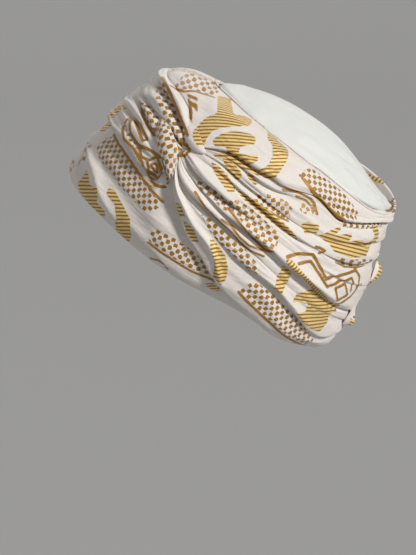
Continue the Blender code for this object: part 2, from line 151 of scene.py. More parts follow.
@dataclass(frozen=True)
class Former:
    """The surface that every cloth lies on: an ellipse at each rise, leaning back."""

    length: float = 236.0
    width: float = 194.0
    height: float = 121.0
    lean: float = 34.0
    ear_dip: float = 5.5
    ear_turn: float = -14.0
    ear_spread: float = 34.0
    nape_dip: float = 4.5
    nape_turn: float = 39.0
    nape_spread: float = 15.0
    dip_rise: float = 0.4
    turn_step: float = 0.5
    rise_step: float = 0.01
    # rise, height share, half length share, half width share, shift back share, raise in front share
    levels: Places = (
        (0.000, 0.000, 0.953, 0.845, 0.000, 0.000),
        (0.055, 0.058, 0.996, 0.907, 0.000, 0.000),
        (0.230, 0.256, 1.000, 0.979, 0.000, 0.000),
        (0.445, 0.504, 0.987, 1.000, 0.000, 0.000),
        (0.600, 0.678, 0.932, 0.959, 0.000, 0.000),
        (0.750, 0.835, 0.881, 0.897, 0.008, 0.002),
        (0.890, 0.959, 0.797, 0.784, 0.050, -0.004),
        (1.000, 1.000, 0.669, 0.639, 0.157, 0.030),
    )

    @property
    def per_degree(self) -> float:
        """Millimetres round the former for a degree of turn, from the mean of its length and width."""
        return math.radians(1.0) * 0.25 * (self.length + self.width)

    def leaned(self, ahead: Array, across: Array, up: Array) -> Array:
        """Turns points of the upright wrap back by its lean."""
        cos, sin = math.cos(math.radians(self.lean)), math.sin(math.radians(self.lean))
        return np.stack([ahead * cos + up * sin, across, up * cos - ahead * sin], axis=-1)

    def rim_dip(self, turn: Array) -> Array:
        """How far the rim dips over each ear and beside the nape, alike on both sides.

        Args:
            turn: turns in degrees.

        Returns:
            The dip in millimetres: a bump at the ear and a bump at the nape.
        """
        side = mirrored(turn)
        ear = self.ear_dip * bump(side, self.ear_turn, self.ear_spread)
        return ear + self.nape_dip * bump(side, self.nape_turn, self.nape_spread)

    def point(self, turn: Array, rise: Array) -> Array:
        """Points of the former.

        An ellipse: half the length times the sine of the turn and half the width times its cosine, with
        both sizes, the height and the shift read from the levels at the rise.

        Args:
            turn: turns in degrees.
            rise: rises as shares.

        Returns:
            The points, with a last axis of three.
        """
        height, long, wide, shift, front = (along(rise, self.levels, k) for k in range(1, 6))
        angle = np.radians(turn)
        ahead = 0.5 * self.length * (long * np.sin(angle) + shift)
        across = -0.5 * self.width * wide * np.cos(angle)
        up = self.height * (height + front * np.maximum(-np.sin(angle), 0.0) ** 2)
        return self.leaned(ahead, across, up - self.rim_dip(turn) * (1.0 - blend(rise, 0.0, self.dip_rise)))

    def skin(self, turn: Array, rise: Array, out: Array) -> Array:
        """Points at distances out from the former, along its normals.

        Args:
            turn: turns in degrees.
            rise: rises as shares.
            out: distances out in millimetres.

        Returns:
            The points, with a last axis of three.
        """
        turn, rise, out = np.broadcast_arrays(np.asarray(turn, float), rise, out)
        around = self.point(turn + self.turn_step, rise) - self.point(turn - self.turn_step, rise)
        above = np.minimum(rise + self.rise_step, 1.0)
        up = self.point(turn, above) - self.point(turn, np.maximum(rise - self.rise_step, 0.0))
        normal = np.cross(around, up)
        normal /= np.linalg.norm(normal, axis=-1, keepdims=True)
        return self.point(turn, rise) + normal * out[..., None]


def mirrored(turn: Array) -> Array:
    """The turn on the near side that mirrors a turn on the far side."""
    return BACK - np.abs(near(turn, BACK) - BACK)


FORMER = Former()

# Camera: the view of the photograph, level with the temple and a little above
VIEW_RISE = 11.0
VIEW_DISTANCE = 3.0
VIEW_TARGET = (0.00975, 0.0, -0.0114)
VIEW_HEIGHT = 0.41625
SENSOR = 36.0
IMAGE_SIZE = (416, 555)
IMAGE_RIGHT = np.array([1.0, 0.0, 0.0])
IMAGE_UP = np.array([0.0, math.sin(math.radians(VIEW_RISE)), math.cos(math.radians(VIEW_RISE))])
IMAGE_DEPTH = np.array([0.0, math.cos(math.radians(VIEW_RISE)), -math.sin(math.radians(VIEW_RISE))])

# Net of places of the near side: how far round it reaches, its steps, and where the far side begins
NET_TURN = 104.0
NET_TURN_STEP = 1.0
NET_RISE_STEP = 0.008
FAR_DEPTH = 6.0
OFF_VIEW = 1e4
# Slopes of the net below this share of the largest are left out where a pixel is traced back
LEAST_SLOPE = 0.05


# Woven motifs


@dataclass(frozen=True)
class Motif:
    """One woven shape, drawn on the chart of turn and rise.

    A patch is a closed outline. A stroke is a path with a width in millimetres, tapered if asked.
    Stripes lie level in the view, turned by lean. A checker follows the first edge of its outline. A
    tapered stroke keeps a blunt share of its length at each end.
    """

    weave: Weave
    places: Places
    width: float = 0.0
    tapered: bool = False
    lean: float = 0.0
    facing: bool = False
    blunt: float = 0.02

    def plane(self) -> tuple[Array, Array, Array, Array]:
        """The plane that touches the former in the motif's middle.

        Returns:
            Its middle, its outward normal, and two unit axes: along the first edge and across it, or for
            stripes along the level of the view and across it.
        """
        table = np.asarray(self.places, float)
        corners = FORMER.point(table[:, 0], table[:, 1])
        turn, rise = table.mean(axis=0)
        middle = FORMER.point(np.array(turn), np.array(rise))
        normal = FORMER.skin(np.array([turn]), np.array([rise]), np.array([1.0]))[0] - middle
        if self.facing:
            normal = np.cross(IMAGE_RIGHT, IMAGE_UP)
        if self.weave is Weave.STRIPED:
            angle = math.radians(self.lean)
            along_plane = np.cross(normal, math.cos(angle) * IMAGE_UP - math.sin(angle) * IMAGE_RIGHT)
        else:
            along_plane = corners[1] - corners[0]
            along_plane = along_plane - normal * (along_plane @ normal)
        along_plane = along_plane / np.linalg.norm(along_plane)
        return middle, normal, along_plane, np.cross(normal, along_plane)

    def drawn(self, points: Array) -> tuple[Array, Array, Array]:
        """The motif at points of the former.

        The distance to the shape's edge is the least distance to its segments, positive inside.

        Args:
            points: points of the former's near side.

        Returns:
            Signed distance in millimetres, and the weave's coordinates along and across.
        """
        middle, _, first, second = self.plane()
        table = np.asarray(self.places, float)
        corners = FORMER.point(table[:, 0], table[:, 1]) - middle
        corners = np.stack([corners @ first, corners @ second], axis=-1)
        x, y = (points - middle) @ first, (points - middle) @ second
        if self.width:
            starts, ends = corners[:-1], corners[1:]
        else:
            starts, ends = corners, np.roll(corners, -1, axis=0)
        least = np.full(x.shape, np.inf)
        inside = np.zeros(x.shape, bool)
        spans = np.linalg.norm(ends - starts, axis=1)
        total, gone = spans.sum(), np.concatenate([[0.0], np.cumsum(spans)])
        for k, (start, end) in enumerate(zip(starts, ends)):
            edge = end - start
            share = np.clip(((x - start[0]) * edge[0] + (y - start[1]) * edge[1]) / (edge @ edge), 0.0, 1.0)
            off = np.hypot(x - start[0] - share * edge[0], y - start[1] - share * edge[1])
            if self.width:
                half = 0.5 * self.width
                if self.tapered:
                    place = np.clip((gone[k] + share * spans[k]) / total, self.blunt, 1.0 - self.blunt)
                    half = half * np.sqrt(np.sin(np.pi * place))
                off = off - half
            elif edge[1]:
                crossed = (start[1] > y) != (end[1] > y)
                inside ^= crossed & (x < start[0] + (y - start[1]) * edge[0] / edge[1])
            least = np.minimum(least, off)
        distance = -least if self.width else np.where(inside, least, -least)
        if self.weave is Weave.STRIPED:
            return distance, x, y
        return distance, x - corners[0][0], y - corners[0][1]


def near_side() -> tuple[Array, Array, Array, Array]:
    """A net of places of the former, and their pixels in the photograph, far off for the far side.

    Returns:
        Turns, rises, pixels right and pixels down, each rows by columns.
    """
    columns = round(2.0 * NET_TURN / NET_TURN_STEP) + 1
    rows = round(1.0 / NET_RISE_STEP) + 1
    turn, rise = np.meshgrid(np.linspace(-NET_TURN, NET_TURN, columns), np.linspace(0.0, 1.0, rows))
    points = FORMER.point(turn, rise)
    across, down = projected(points)
    return turn, rise, np.where(points[..., 1] < FAR_DEPTH, across, across + OFF_VIEW), down


def seen(places: Places) -> Places:
    """Turns and rises of places given as pixels of the photograph.

    Each pixel takes the nearest place of the net of the near side, moved on by the net's own slopes.

    Args:
        places: pixels right and down.

    Returns:
        Turns and rises.
    """
    turn, rise, across, down = NEAR_SIDE
    found = []
    for x, y in places:
        row, column = np.unravel_index(np.argmin((across - x) ** 2 + (down - y) ** 2), turn.shape)
        row, column = min(max(row, 1), turn.shape[0] - 2), min(max(column, 1), turn.shape[1] - 2)
        slopes = 0.5 * np.array([
            [way[row, column + 1] - way[row, column - 1], way[row + 1, column] - way[row - 1, column]]
            for way in (across, down)
        ])
        rest = np.array([x - across[row, column], y - down[row, column]])
        steps = np.clip(np.linalg.lstsq(slopes, rest, rcond=LEAST_SLOPE)[0], -1.0, 1.0)
        steps = steps * (NET_TURN_STEP, NET_RISE_STEP)
        found.append((float(turn[row, column] + steps[0]), float(rise[row, column] + steps[1])))
    return tuple(found)


def projected(points: Array) -> tuple[Array, Array]:
    """Where the camera sees points.

    Args:
        points: millimetres, with a last axis of three.

    Returns:
        Pixels of the photograph, right and down.
    """
    middle = np.array(VIEW_TARGET) / MM
    scale = IMAGE_SIZE[1] * MM / VIEW_HEIGHT
    nearer = VIEW_DISTANCE / (VIEW_DISTANCE + (points - middle) @ IMAGE_DEPTH * MM)
    across = 0.5 * IMAGE_SIZE[0] + (points - middle) @ IMAGE_RIGHT * scale * nearer
    down = 0.5 * IMAGE_SIZE[1] - (points - middle) @ IMAGE_UP * scale * nearer
    return across, down


NEAR_SIDE = near_side()


def drawn_at(places: Places, chart: bool) -> Places:
    """Places of a motif on the chart, from pixels unless they are on the chart already."""
    return places if chart else seen(places)


def checker(*places: tuple[float, float], chart: bool = False, facing: bool = False) -> Motif:
    """A patch of dots in a checker, whose rows follow its first edge, square in the view if it is facing."""
    return Motif(Weave.CHECKER, drawn_at(places, chart), facing=facing)


def striped(*places: tuple[float, float], lean: float = 0.0, chart: bool = False) -> Motif:
    """A patch of level stripes."""
    return Motif(Weave.STRIPED, drawn_at(places, chart), lean=lean)


def arc(width: float, *places: tuple[float, float], lean: float = 0.0, chart: bool = False) -> Motif:
    """A tapered striped stroke."""
    return Motif(Weave.STRIPED, drawn_at(places, chart), width, True, lean)


def line(width: float, *places: tuple[float, float], chart: bool = False) -> Motif:
    """A solid gold line."""
    return Motif(Weave.SOLID, drawn_at(places, chart), width)


# Places of the motifs on the near side are pixels of the photograph, which is 416 wide and 555 high
MOTIFS = {
    # brow
    "brow_dots": checker(
        (109.9, 134), (125, 158), (142.4, 182), (162, 204), (160, 207), (153, 211), (147, 214),
        (131, 198), (118, 185), (110, 172), (100, 160), (96, 148), (104, 136),
    ),
    "brow_dots_edge": line(2.2, (110, 132), (125, 156), (142, 180), (162, 202)),
    "ear_dots": checker(
        (153, 227), (173, 238), (190, 250.5), (203, 263), (215, 281), (190, 270), (168, 255), (148, 240),
    ),
    "ear_dots_edge": line(2.0, (147.5, 241.5), (168.5, 257.5), (190, 272.5), (216, 284)),
    "ear_key_line": line(1.8, (149, 258.5), (160, 260.5), (168, 269)),
    "brow_leaf_front": striped(
        (86, 169), (88.5, 176), (89.5, 185), (100, 188), (99.5, 196), (96, 202), (105, 211), (104, 218),
        (96, 214), (84, 202), (78.5, 192), (80, 184), (83, 177), lean=-3.0,
    ),
    "brow_leaf_middle": striped(
        (108, 188), (114, 190), (122, 204), (130, 219), (131.5, 236), (128, 243), (118, 236), (115, 232),
        (117.5, 219), (115, 204.5), (107, 194), lean=-3.0,
    ),
    "front_dots": checker((80, 164), (88, 142), (92, 146), (86, 162), facing=True),
    "front_dots_edge": line(1.4, (79, 165), (84, 152), (88, 141)),
    "front_corner_dots": checker((68, 167), (73, 160), (77.5, 163), (71, 173), facing=True),
    "rim_line_behind_ear": line(1.2, (204, 287), (212, 286), (219, 291)),
    "rim_leaf_behind_ear": striped((204, 288.5), (213, 287), (221, 294), (214, 294.5)),
    # rolls of the front gathers
    "first_roll_dots": checker(
        (163.5, 82), (170, 96), (177, 112), (184, 128), (188, 138), (181, 146), (172, 134), (165, 118),
        (158, 100), (155, 86), facing=True,
    ),
    "first_roll_edge": line(2.2, (164, 80.5), (171, 95), (178, 111), (185, 127), (189, 137)),
    "second_roll_dots": checker(
        (140, 103), (144, 116), (150, 127), (155, 134), (162, 131), (161, 122), (156, 113), (148, 104),
        facing=True,
    ),
    "second_roll_edge": line(1.8, (139.5, 102), (143, 116), (149, 128), (154, 135.5)),
    "key_outer": line(
        2.2, (129, 118), (122.5, 127), (124.5, 139), (135, 149.5), (143, 163), (145.5, 173), (153, 185),
        (164, 187),
    ),
    "key_inner": line(2.2, (130.5, 120), (130.5, 133), (138, 145), (151.5, 151), (161, 157.5)),
    "key_loop": line(2.0, (133.5, 118), (137, 126), (144, 142), (147.5, 138.5), (141, 125), (133.5, 118)),
    "diamond_outer": line(
        2.0, (148, 160.5), (157.5, 157), (161.5, 169), (155, 178.5), (149, 172), (148, 160.5),
    ),
    "diamond_inner": line(1.8, (152, 164.5), (156, 163.5), (158, 169), (154.5, 172.5), (152, 164.5)),
    "diamond_stem": line(2.0, (138.5, 146), (142, 157), (148.5, 160)),
    "diamond_side": line(1.8, (163, 160), (166, 172), (166.5, 183)),
    "gathers_dots": checker((125, 128), (128, 139), (140, 152), (137, 146), (130, 134)),
    "gathers_leaf": striped(
        (97, 129), (104, 118), (112, 110), (122, 102.5), (124.5, 107), (116, 113.5), (108, 121),
        (100.5, 131),
    ),
    # core of the knot
    "knot_curl_outer": line(2.4, (180, 142.5), (186.5, 145), (189.5, 150.5), (185, 155.5), (178, 155)),
    "knot_curl_inner": line(1.8, (177, 147), (182.5, 150.5), (180, 153)),
    "peak_dots": checker((166, 63.5), (172, 62.5), (177.5, 67), (175, 72), (168, 73), facing=True),
    # front of the upper wrap
    "upper_front_dots": checker(
        (174, 86), (183, 90), (192, 88), (203, 92.5), (213, 96), (218, 92), (223.5, 84), (219, 80),
        (208, 76), (198, 73.5), (190, 73), (183, 76.5), facing=True,
    ),
    "upper_front_edge": line(2.8, (172.5, 88), (185, 92), (195, 90.5), (205, 93.5), (214, 97)),
    "upper_bar_left": line(2.4, (189, 95), (190.5, 107), (191, 119)),
    "upper_bar_right": line(2.4, (196, 95), (196, 111.5)),
    # flower of the upper wrap: petal and ring, bars, and crescent
    "flower_petal": striped(
        (218, 96), (225, 95), (232, 96.5), (232.5, 105), (233.5, 114), (243, 114.5), (253, 116),
        (253, 121), (249, 126), (236, 126.5), (223, 127.5), (213, 131), (207.5, 136.5), (204, 146),
        (199, 147.5), (194.5, 141), (194, 133), (199, 125), (205, 118.5), (211, 115.5), (217.5, 114),
        (217.5, 105), lean=-3.0,
    ),
    "flower_bars": striped(
        (226, 132), (238, 131.5), (252, 134), (256, 138.5), (255, 144), (240, 147), (238.5, 155),
        (257.5, 155), (258.5, 160.5), (253, 164.5), (241, 165), (231, 162), (215, 156.5), (213, 154),
        (227, 153), (226.5, 148), (215, 146.5), (212.5, 141.5), (216, 137), lean=-3.0,
    ),
    "flower_crescent": striped(
        (268, 128.5), (276, 135), (283.5, 142), (288.5, 150), (287, 161), (279, 173), (273, 179.5),
        (264, 178), (252, 171.5), (263, 169.5), (269, 164), (273, 155.5), (272.5, 146), (268, 138),
        lean=2.0,
    ),
    "flower_foot": striped(
        (228, 160), (240, 164), (250, 166), (262, 173), (258, 176), (246, 170), (236, 166), lean=-12.0,
    ),
    # leaves below the upper wrap
    "leaf_long": striped(
        (211.5, 162), (219, 166), (227, 175), (235.5, 188), (233.5, 193.5), (228, 192), (220, 181.5),
        (213.5, 171), lean=-4.0,
    ),
    "leaf_middle": striped(
        (223.5, 158.5), (232.5, 162), (241, 172), (242, 177.5), (236, 180), (229, 172), (224.5, 164.5),
        lean=-6.0,
    ),
    "leaf_short": striped(
        (247.5, 172.5), (253, 175), (257.5, 183), (255, 185.5), (250, 181), (247, 176.5), lean=-8.0,
    ),
    # shaded folds beside the knot
    "pleat_dots_upper": checker(
        (203, 182.5), (218.5, 192), (229, 204), (233.5, 213), (222.5, 209), (212, 198), (201, 190),
        (194, 180),
    ),
    "pleat_dots_lower": checker(
        (212, 220), (222.5, 230), (235, 241), (246, 250), (256.5, 262), (258, 273), (249, 272),
        (240, 263), (230, 253), (219, 243), (209, 230), (201, 214),
    ),
    "pleat_line_upper": line(
        1.5, (196, 192), (206, 207), (219, 221), (231, 231), (240, 243), (251, 251), (264, 256),
    ),
    "pleat_line_lower": line(1.5, (222, 219), (232, 226), (239, 236), (249, 245), (262, 250), (271, 252)),
    "pleat_leaf_top": striped((175, 202), (181.5, 204.5), (186, 217), (180, 216), (176, 211)),
    "pleat_leaf_middle": striped((184.5, 221), (194.5, 228), (199, 241.5), (192, 241), (186, 231)),
    "pleat_leaf_low": striped(
        (210.5, 236), (218, 245), (225.5, 256), (228, 267), (226.5, 278), (221, 284), (213, 276),
        (215, 260), (211, 247), lean=-2.0,
    ),
    # bright checker, gold band and temple dots
    "bright_dots": checker(
        (240, 201), (253, 209.5), (266, 221), (279.5, 233.5), (278, 242), (272.5, 250.5), (265, 247.5),
        (253, 235), (242, 222), (231, 208.5), (225.5, 198.5),
    ),
    "bright_dots_edge": line(1.6, (228, 208), (241, 224), (252, 237), (264, 249), (273, 252.5)),
    "gold_band": arc(5.4, (237, 190), (246, 198), (262, 210), (279, 223.5), (297, 239), lean=-6.0),
    "temple_dots": checker(
        (253, 195), (266, 194), (286, 200.5), (292, 208.5), (288, 220), (277, 215.5), (264, 209),
        (255, 202),
    ),
    "temple_dots_edge": line(1.4, (253, 200), (264, 209), (278, 216.5), (288, 221)),
    "temple_hook_outer": line(2.0, (283, 190), (298, 192), (309, 197.5), (314, 203), (317, 214)),
    "temple_hook_inner": line(1.6, (296, 196.5), (306, 200.5), (311, 206), (313, 213)),
    "temple_hook_dots": checker((297, 204), (304, 203), (310, 210), (308, 215), (301, 212)),
    # right of the upper wrap
    "upper_rear_edge": line(2.6, (300, 175), (312, 191.5), (329, 209), (343, 221)),
    "upper_rear_dots": checker(
        (301, 174), (312.5, 190), (330, 207.5), (343, 219), (352, 222), (358, 214), (352, 204),
        (345, 194), (333.5, 183), (320.5, 174), (312, 168.5), (306, 169),
    ),
    "rear_lip_dots": checker(
        (340, 222), (352, 223.5), (364, 222.5), (381, 220.5), (383, 225), (372, 229), (361, 229),
        (342, 227),
    ),
    # rear, upper
    "rear_leaf_small": striped((301, 224), (307.5, 221), (318.5, 225), (316.5, 233), (305, 234), lean=-4.0),
    "rear_leaf_large": striped(
        (318, 235), (340, 226), (341, 229), (333, 235), (351, 233), (351, 236), (347, 241), (360, 239),
        (366, 243), (370, 249), (364, 255), (348, 257), (333, 251), (329, 244), lean=-14.0,
    ),
    "rear_hook": arc(7.5, (373, 226), (377, 233), (373, 242), (362, 249), lean=8.0),
    "rear_tick": line(2.0, (315, 246.5), (319, 247.5), (324, 250.5), (319, 253)),
    "rear_dots": checker(
        (335, 256), (348, 258.5), (373, 258), (372, 264.5), (351, 268), (339, 264.5), facing=True,
    ),
    "rear_dots_edge": line(1.4, (336, 262), (345, 267), (358, 268), (371, 264)),
    # key line round the back
    "rear_key_outer": line(
        2.3, (286, 255.5), (299, 253.5), (313, 254.5), (325.5, 278), (341, 275), (357, 270.5), (360, 277),
        (356.5, 289),
    ),
    "rear_key_inner": line(
        2.1, (297.5, 262.5), (310.5, 261), (325, 285), (338, 282), (351.5, 278), (353, 283), (350.5, 291),
    ),
    "rear_square": line(2.1, (334, 287), (345.5, 284), (346.5, 294.5), (335, 298), (334, 287)),
    "rear_key_end": line(2.1, (361, 284), (350, 296), (334, 303)),
    "rear_key_stripes": striped(
        (284, 257), (290, 258), (297, 266), (312, 281.5), (329, 300), (327, 304), (318, 295), (303, 278),
        (291, 268), (286, 263), lean=38.0,
    ),
    "rear_key_leaf": striped(
        (283.5, 266), (291.5, 272), (288, 281), (281, 291.5), (273, 289), (277, 276), lean=-3.0,
    ),
    # flower of the nape
    "nape_flower": striped(
        (291, 300.5), (298, 292.5), (312, 289.5), (320.5, 295.5), (329, 302), (339, 303.5),
        (336.5, 310.5), (330, 313), (327, 322), (318, 330.5), (309.5, 327), (302, 321.5), (296, 314),
        (294, 311.5), (305, 310), (307.5, 303.5), (298.5, 301), lean=-4.0,
    ),
    # low checker over the nape
    "nape_dots_edge": line(2.2, (238.5, 291), (253, 306.5), (272.5, 324), (288, 337), (304, 344.5)),
    "nape_dots": checker(
        (240, 290), (253.5, 304.5), (273, 322.5), (288.5, 335.5), (305, 343.5), (314, 340), (300, 321),
        (286.5, 308.5), (275, 296.5), (262, 286), (252, 281),
    ),
    # round the front and behind, as turns and rises
    "front_top_dots": checker((-96, 0.850), (-84, 0.840), (-84, 0.960), (-96, 0.980), chart=True),
    "back_top_dots": checker(
        (74, 0.905), (90, 0.900), (106, 0.905), (106, 0.960), (90, 0.965), (74, 0.960), chart=True,
    ),
    "back_top_edge": line(1.8, (70, 0.890), (90, 0.885), (108, 0.890), chart=True),
    "back_leaf": striped((80, 0.640), (90, 0.650), (104, 0.630), (98, 0.570), (84, 0.565), chart=True),
    "back_middle_dots": checker(
        (78, 0.400), (90, 0.395), (110, 0.400), (108, 0.470), (90, 0.480), (78, 0.470), chart=True,
    ),
    "back_middle_line": line(1.6, (78, 0.262), (84, 0.266), (90, 0.268), chart=True),
    "back_rim_dots": checker(
        (78, 0.030), (90, 0.028), (104, 0.030), (104, 0.100), (90, 0.105), (78, 0.100), chart=True,
    ),
    "front_rim_hook": arc(6.0, (-98, 0.060), (-90, 0.100), (-84, 0.070), (-88, 0.020), chart=True),
    "back_lip_dots": checker((58, 0.985), (70, 0.985), (72, 0.945), (60, 0.940), chart=True),
    "upper_end_leaf": striped(
        (83, 0.470), (90, 0.460), (93, 0.520), (91, 0.575), (85, 0.560), lean=60.0, chart=True,
    ),
    "lower_end_leaf": striped((76, 0.250), (82, 0.245), (84, 0.200), (78, 0.200), lean=40.0, chart=True),
}


# The far side shows the same cloth half a turn on, but only motifs that lie within this turn
FAR_LIMIT = 76.0
# Distances to motifs are kept to this reach, and looked for within this margin of each motif, in millimetres
REACH = 8.0
MARGIN = 9.0
# A motif's cloth lies within this share of its size from the plane of the motif
SLAB = 0.75


def woven(turn: Array, rise: Array) -> dict[str, Array]:
    """All motifs at places of the chart, as attributes.

    Each weave's distance is the greatest of its motifs' distances. The coordinates are those of the
    checker or striped motif that is nearest.

    Args:
        turn: turns of any side.
        rise: rises.

    Returns:
        Attributes by name: a distance for each weave, and the weave's coordinates.
    """
    reach = {weave: np.full(turn.shape, -REACH) for weave in Weave}
    nearest = np.full(turn.shape, -np.inf)
    u, v = np.zeros(turn.shape), np.zeros(turn.shape)
    rise = np.clip(rise, 0.0, 1.0)
    near_points = FORMER.point(near(turn, 0.0), rise)
    far_points = FORMER.point(near(turn - 180.0, 0.0), rise)
    for motif in MOTIFS.values():
        middle, normal, _, _ = motif.plane()
        table = np.asarray(motif.places, float)
        size = np.linalg.norm(FORMER.point(table[:, 0], table[:, 1]) - middle, axis=1).max() + MARGIN
        both = np.abs(table[:, 0]).max() < FAR_LIMIT
        sides = (near_points, far_points) if both else (near_points,)
        for points in sides:
            off = points - middle
            around = (np.linalg.norm(off, axis=-1) < size) & (np.abs(off @ normal) < SLAB * size)
            if not around.any():
                continue
            distance, mu, mv = motif.drawn(points[around])
            reach[motif.weave][around] = np.maximum(reach[motif.weave][around], distance)
            if motif.weave is Weave.SOLID:
                continue
            closer = distance > nearest[around]
            nearest[around] = np.where(closer, distance, nearest[around])
            u[around] = np.where(closer, mu, u[around])
            v[around] = np.where(closer, mv, v[around])
    fields = {weave.value: np.clip(value, -REACH, REACH) for weave, value in reach.items()}
    fields["motif"] = np.stack([u, v, np.zeros(u.shape)], axis=-1)
    return fields


# Folds


@dataclass(frozen=True)
class Fold:
    """One pleat that runs round the head.

    Each station gives the turn, the rise of its lip, its height in millimetres, and its roll: 0 is a soft
    wave, and 1 is a lip that turns right under.
    """

    stations: Places
    crest: float

    def at(self, turn: Array) -> tuple[Array, Array, Array]:
        """Rise, height and roll at turns."""
        rise, height, roll = (along(turn, self.stations, k) for k in (1, 2, 3))
        return rise, np.maximum(height, 0.0), np.clip(roll, 0.0, 1.0)


@dataclass(frozen=True)
class Ridge:
    """A rounded ridge along a curve: places of turn, rise and height, and its half width in millimetres.

    It fades between some degrees past each end and a little inside it.
    """

    places: Places
    half_width: float
    past: float = 4.0
    inside: float = 1.0

    def out(self, turn: Array, rise: Array) -> Array:
        """Distance out: a bell curve across the ridge, whose height runs to nothing past its ends.

        Args:
            turn: turns in degrees.
            rise: rises as shares.

        Returns:
            Distance out in millimetres.
        """
        table = np.asarray(self.places, float)
        lo, hi = table[:, 0].min(), table[:, 0].max()
        middle = along(turn, self.places, 1)
        height = along(turn, self.places, 2)
        off = (rise - middle) * FORMER.height / self.half_width
        start = blend(turn, lo - self.past, lo + self.inside)
        ends = start * (1.0 - blend(turn, hi - self.inside, hi + self.past))
        return height * ends * np.exp(-off * off)


@dataclass(frozen=True)
class Crumple:
    """Small wrinkles that follow the folds, scattered from a seed.

    Each is a bell-shaped ridge or groove in turn and in the fold's own count of rows.
    """

    seed: int
    count: int
    height: float
    length: float
    width: float
    length_range: tuple[float, float] = (0.6, 1.8)
    width_range: tuple[float, float] = (0.6, 1.6)

    def out(self, turn: Array, across: Array) -> Array:
        """The wrinkles at turns and at places across the folds.

        Args:
            turn: turns in degrees.
            across: places across the folds.

        Returns:
            Distance out in millimetres.
        """
        draw = np.random.default_rng(self.seed)
        lo_turn, hi_turn = float(turn.min()), float(turn.max())
        lo, hi = float(across.min()), float(across.max())
        total = np.zeros(turn.shape)
        for _ in range(self.count):
            middle = draw.uniform(lo_turn, hi_turn)
            row = draw.uniform(lo, hi)
            slant = draw.normal(0.0, self.width / self.length)
            long = self.length * draw.uniform(*self.length_range)
            wide = self.width * draw.uniform(*self.width_range)
            high = self.height * draw.uniform(-1.0, 1.0)
            away = near(turn, middle) - middle
            off = (across - row - slant * away) / wide
            total += high * np.exp(-(off * off) - (away / long) ** 2)
        return total


@dataclass(frozen=True)
class Section:
    """The section of pleated cloth, from its hidden top down to its turned hem."""

    tuck: float = 3.4
    depth: float = 2.3
    step: float = 0.9
    least_gap: float = 0.006
    # under the hem: its bend as a share of the tuck, and for each row its bends up and its depth
    hem_turn: float = 1.6
    hem_rows: Places = ((1.0, 0.4), (2.0, 0.7))
    top_share: float = -0.3
    # rows before each of the seven places of a fold, and before the two places that close the top and the hem
    samples: tuple[int, ...] = (2, 5, 4, 3, 2, 2, 2)
    top_samples: int = 3
    hem_samples: int = 2

    def rows(
        self, turn: Array, above: Array, top: list[tuple[Array, Array]], folds: Sequence[Fold]
    ) -> tuple[Array, Array, Array]:
        """Rises, distances out and counts of folds, by rows and columns.

        Each fold starts in a bend hidden under the lip above, swells to its crest, rolls over its lip and
        turns back up to the next bend. Straight pieces between these places are then softened.

        Args:
            turn: one turn for each column.
            above: rise of the lip that the first fold comes out from.
            top: rises and distances out of the rows above that.
            folds: the folds from top to bottom. The last one's lip is the hem.

        Returns:
            Rise, distance out and across, a running count of folds, each rows by columns.
        """
        zero = np.zeros(turn.shape)
        rises, outs, across, counts = [], [], [], []
        for rise, out in top:
            rises.append(rise + zero)
            outs.append(out + zero)
            across.append(zero + self.top_share)
            counts.append(self.top_samples)
        roll_above = zero + 1.0
        for number, fold in enumerate(folds):
            lip, height, roll = fold.at(turn)
            gap = np.maximum(above - lip, self.least_gap)
            lip = above - gap
            bend_above = (self.tuck * roll_above - self.step * (1.0 - roll_above)) / FORMER.height
            bend = (self.tuck * roll - self.step * (1.0 - roll)) / FORMER.height
            deep = self.depth * roll_above
            # rise, distance out, and share of the way down the fold
            section = (
                (above + bend_above, -deep, 0.0),
                (above - 0.04 * gap - 0.004, -0.75 * deep, 0.05),
                (above - (1.0 - fold.crest) * 0.62 * gap, 0.62 * height - 0.15 * deep, 0.45),
                (lip + fold.crest * gap, height, 0.75),
                (lip + 0.35 * fold.crest * gap, 0.86 * height, 0.9),
                (lip, 0.42 * height, 0.97),
                (lip + 0.4 * bend, -0.25 * self.depth * roll, 0.99),
            )
            for (rise, out, share), count in zip(section, self.samples):
                rises.append(rise + zero)
                outs.append(out + zero)
                across.append(zero + number + share)
                counts.append(count)
            above, roll_above = lip, roll
        bend = self.tuck * self.hem_turn / FORMER.height
        for bends, deeper in self.hem_rows:
            rises.append(above + bends * bend + zero)
            outs.append(zero - self.depth - deeper)
            across.append(zero + len(folds))
            counts.append(self.hem_samples)
        return tuple(filled(np.array(rows), counts) for rows in (rises, outs, across))


def filled(rows: Array, counts: Sequence[int]) -> Array:
    """Adds straight steps between rows, as many as the counts say, and softens the corners.

    Args:
        rows: the rows.
        counts: how many steps follow each row.

    Returns:
        The longer list of rows.
    """
    places = np.concatenate([[0.0], np.cumsum(counts[:-1])])
    wanted = np.arange(places[-1] + 1)
    i = np.clip(np.searchsorted(places, wanted, side="right") - 1, 0, len(places) - 2)
    share = ((wanted - places[i]) / (places[i + 1] - places[i]))[:, None]
    return softened(rows[i] * (1.0 - share) + rows[i + 1] * share, 2)


# Meshes

# Millimetres below which a closed last row of points counts as one point
POLE_SIZE = 1e-6


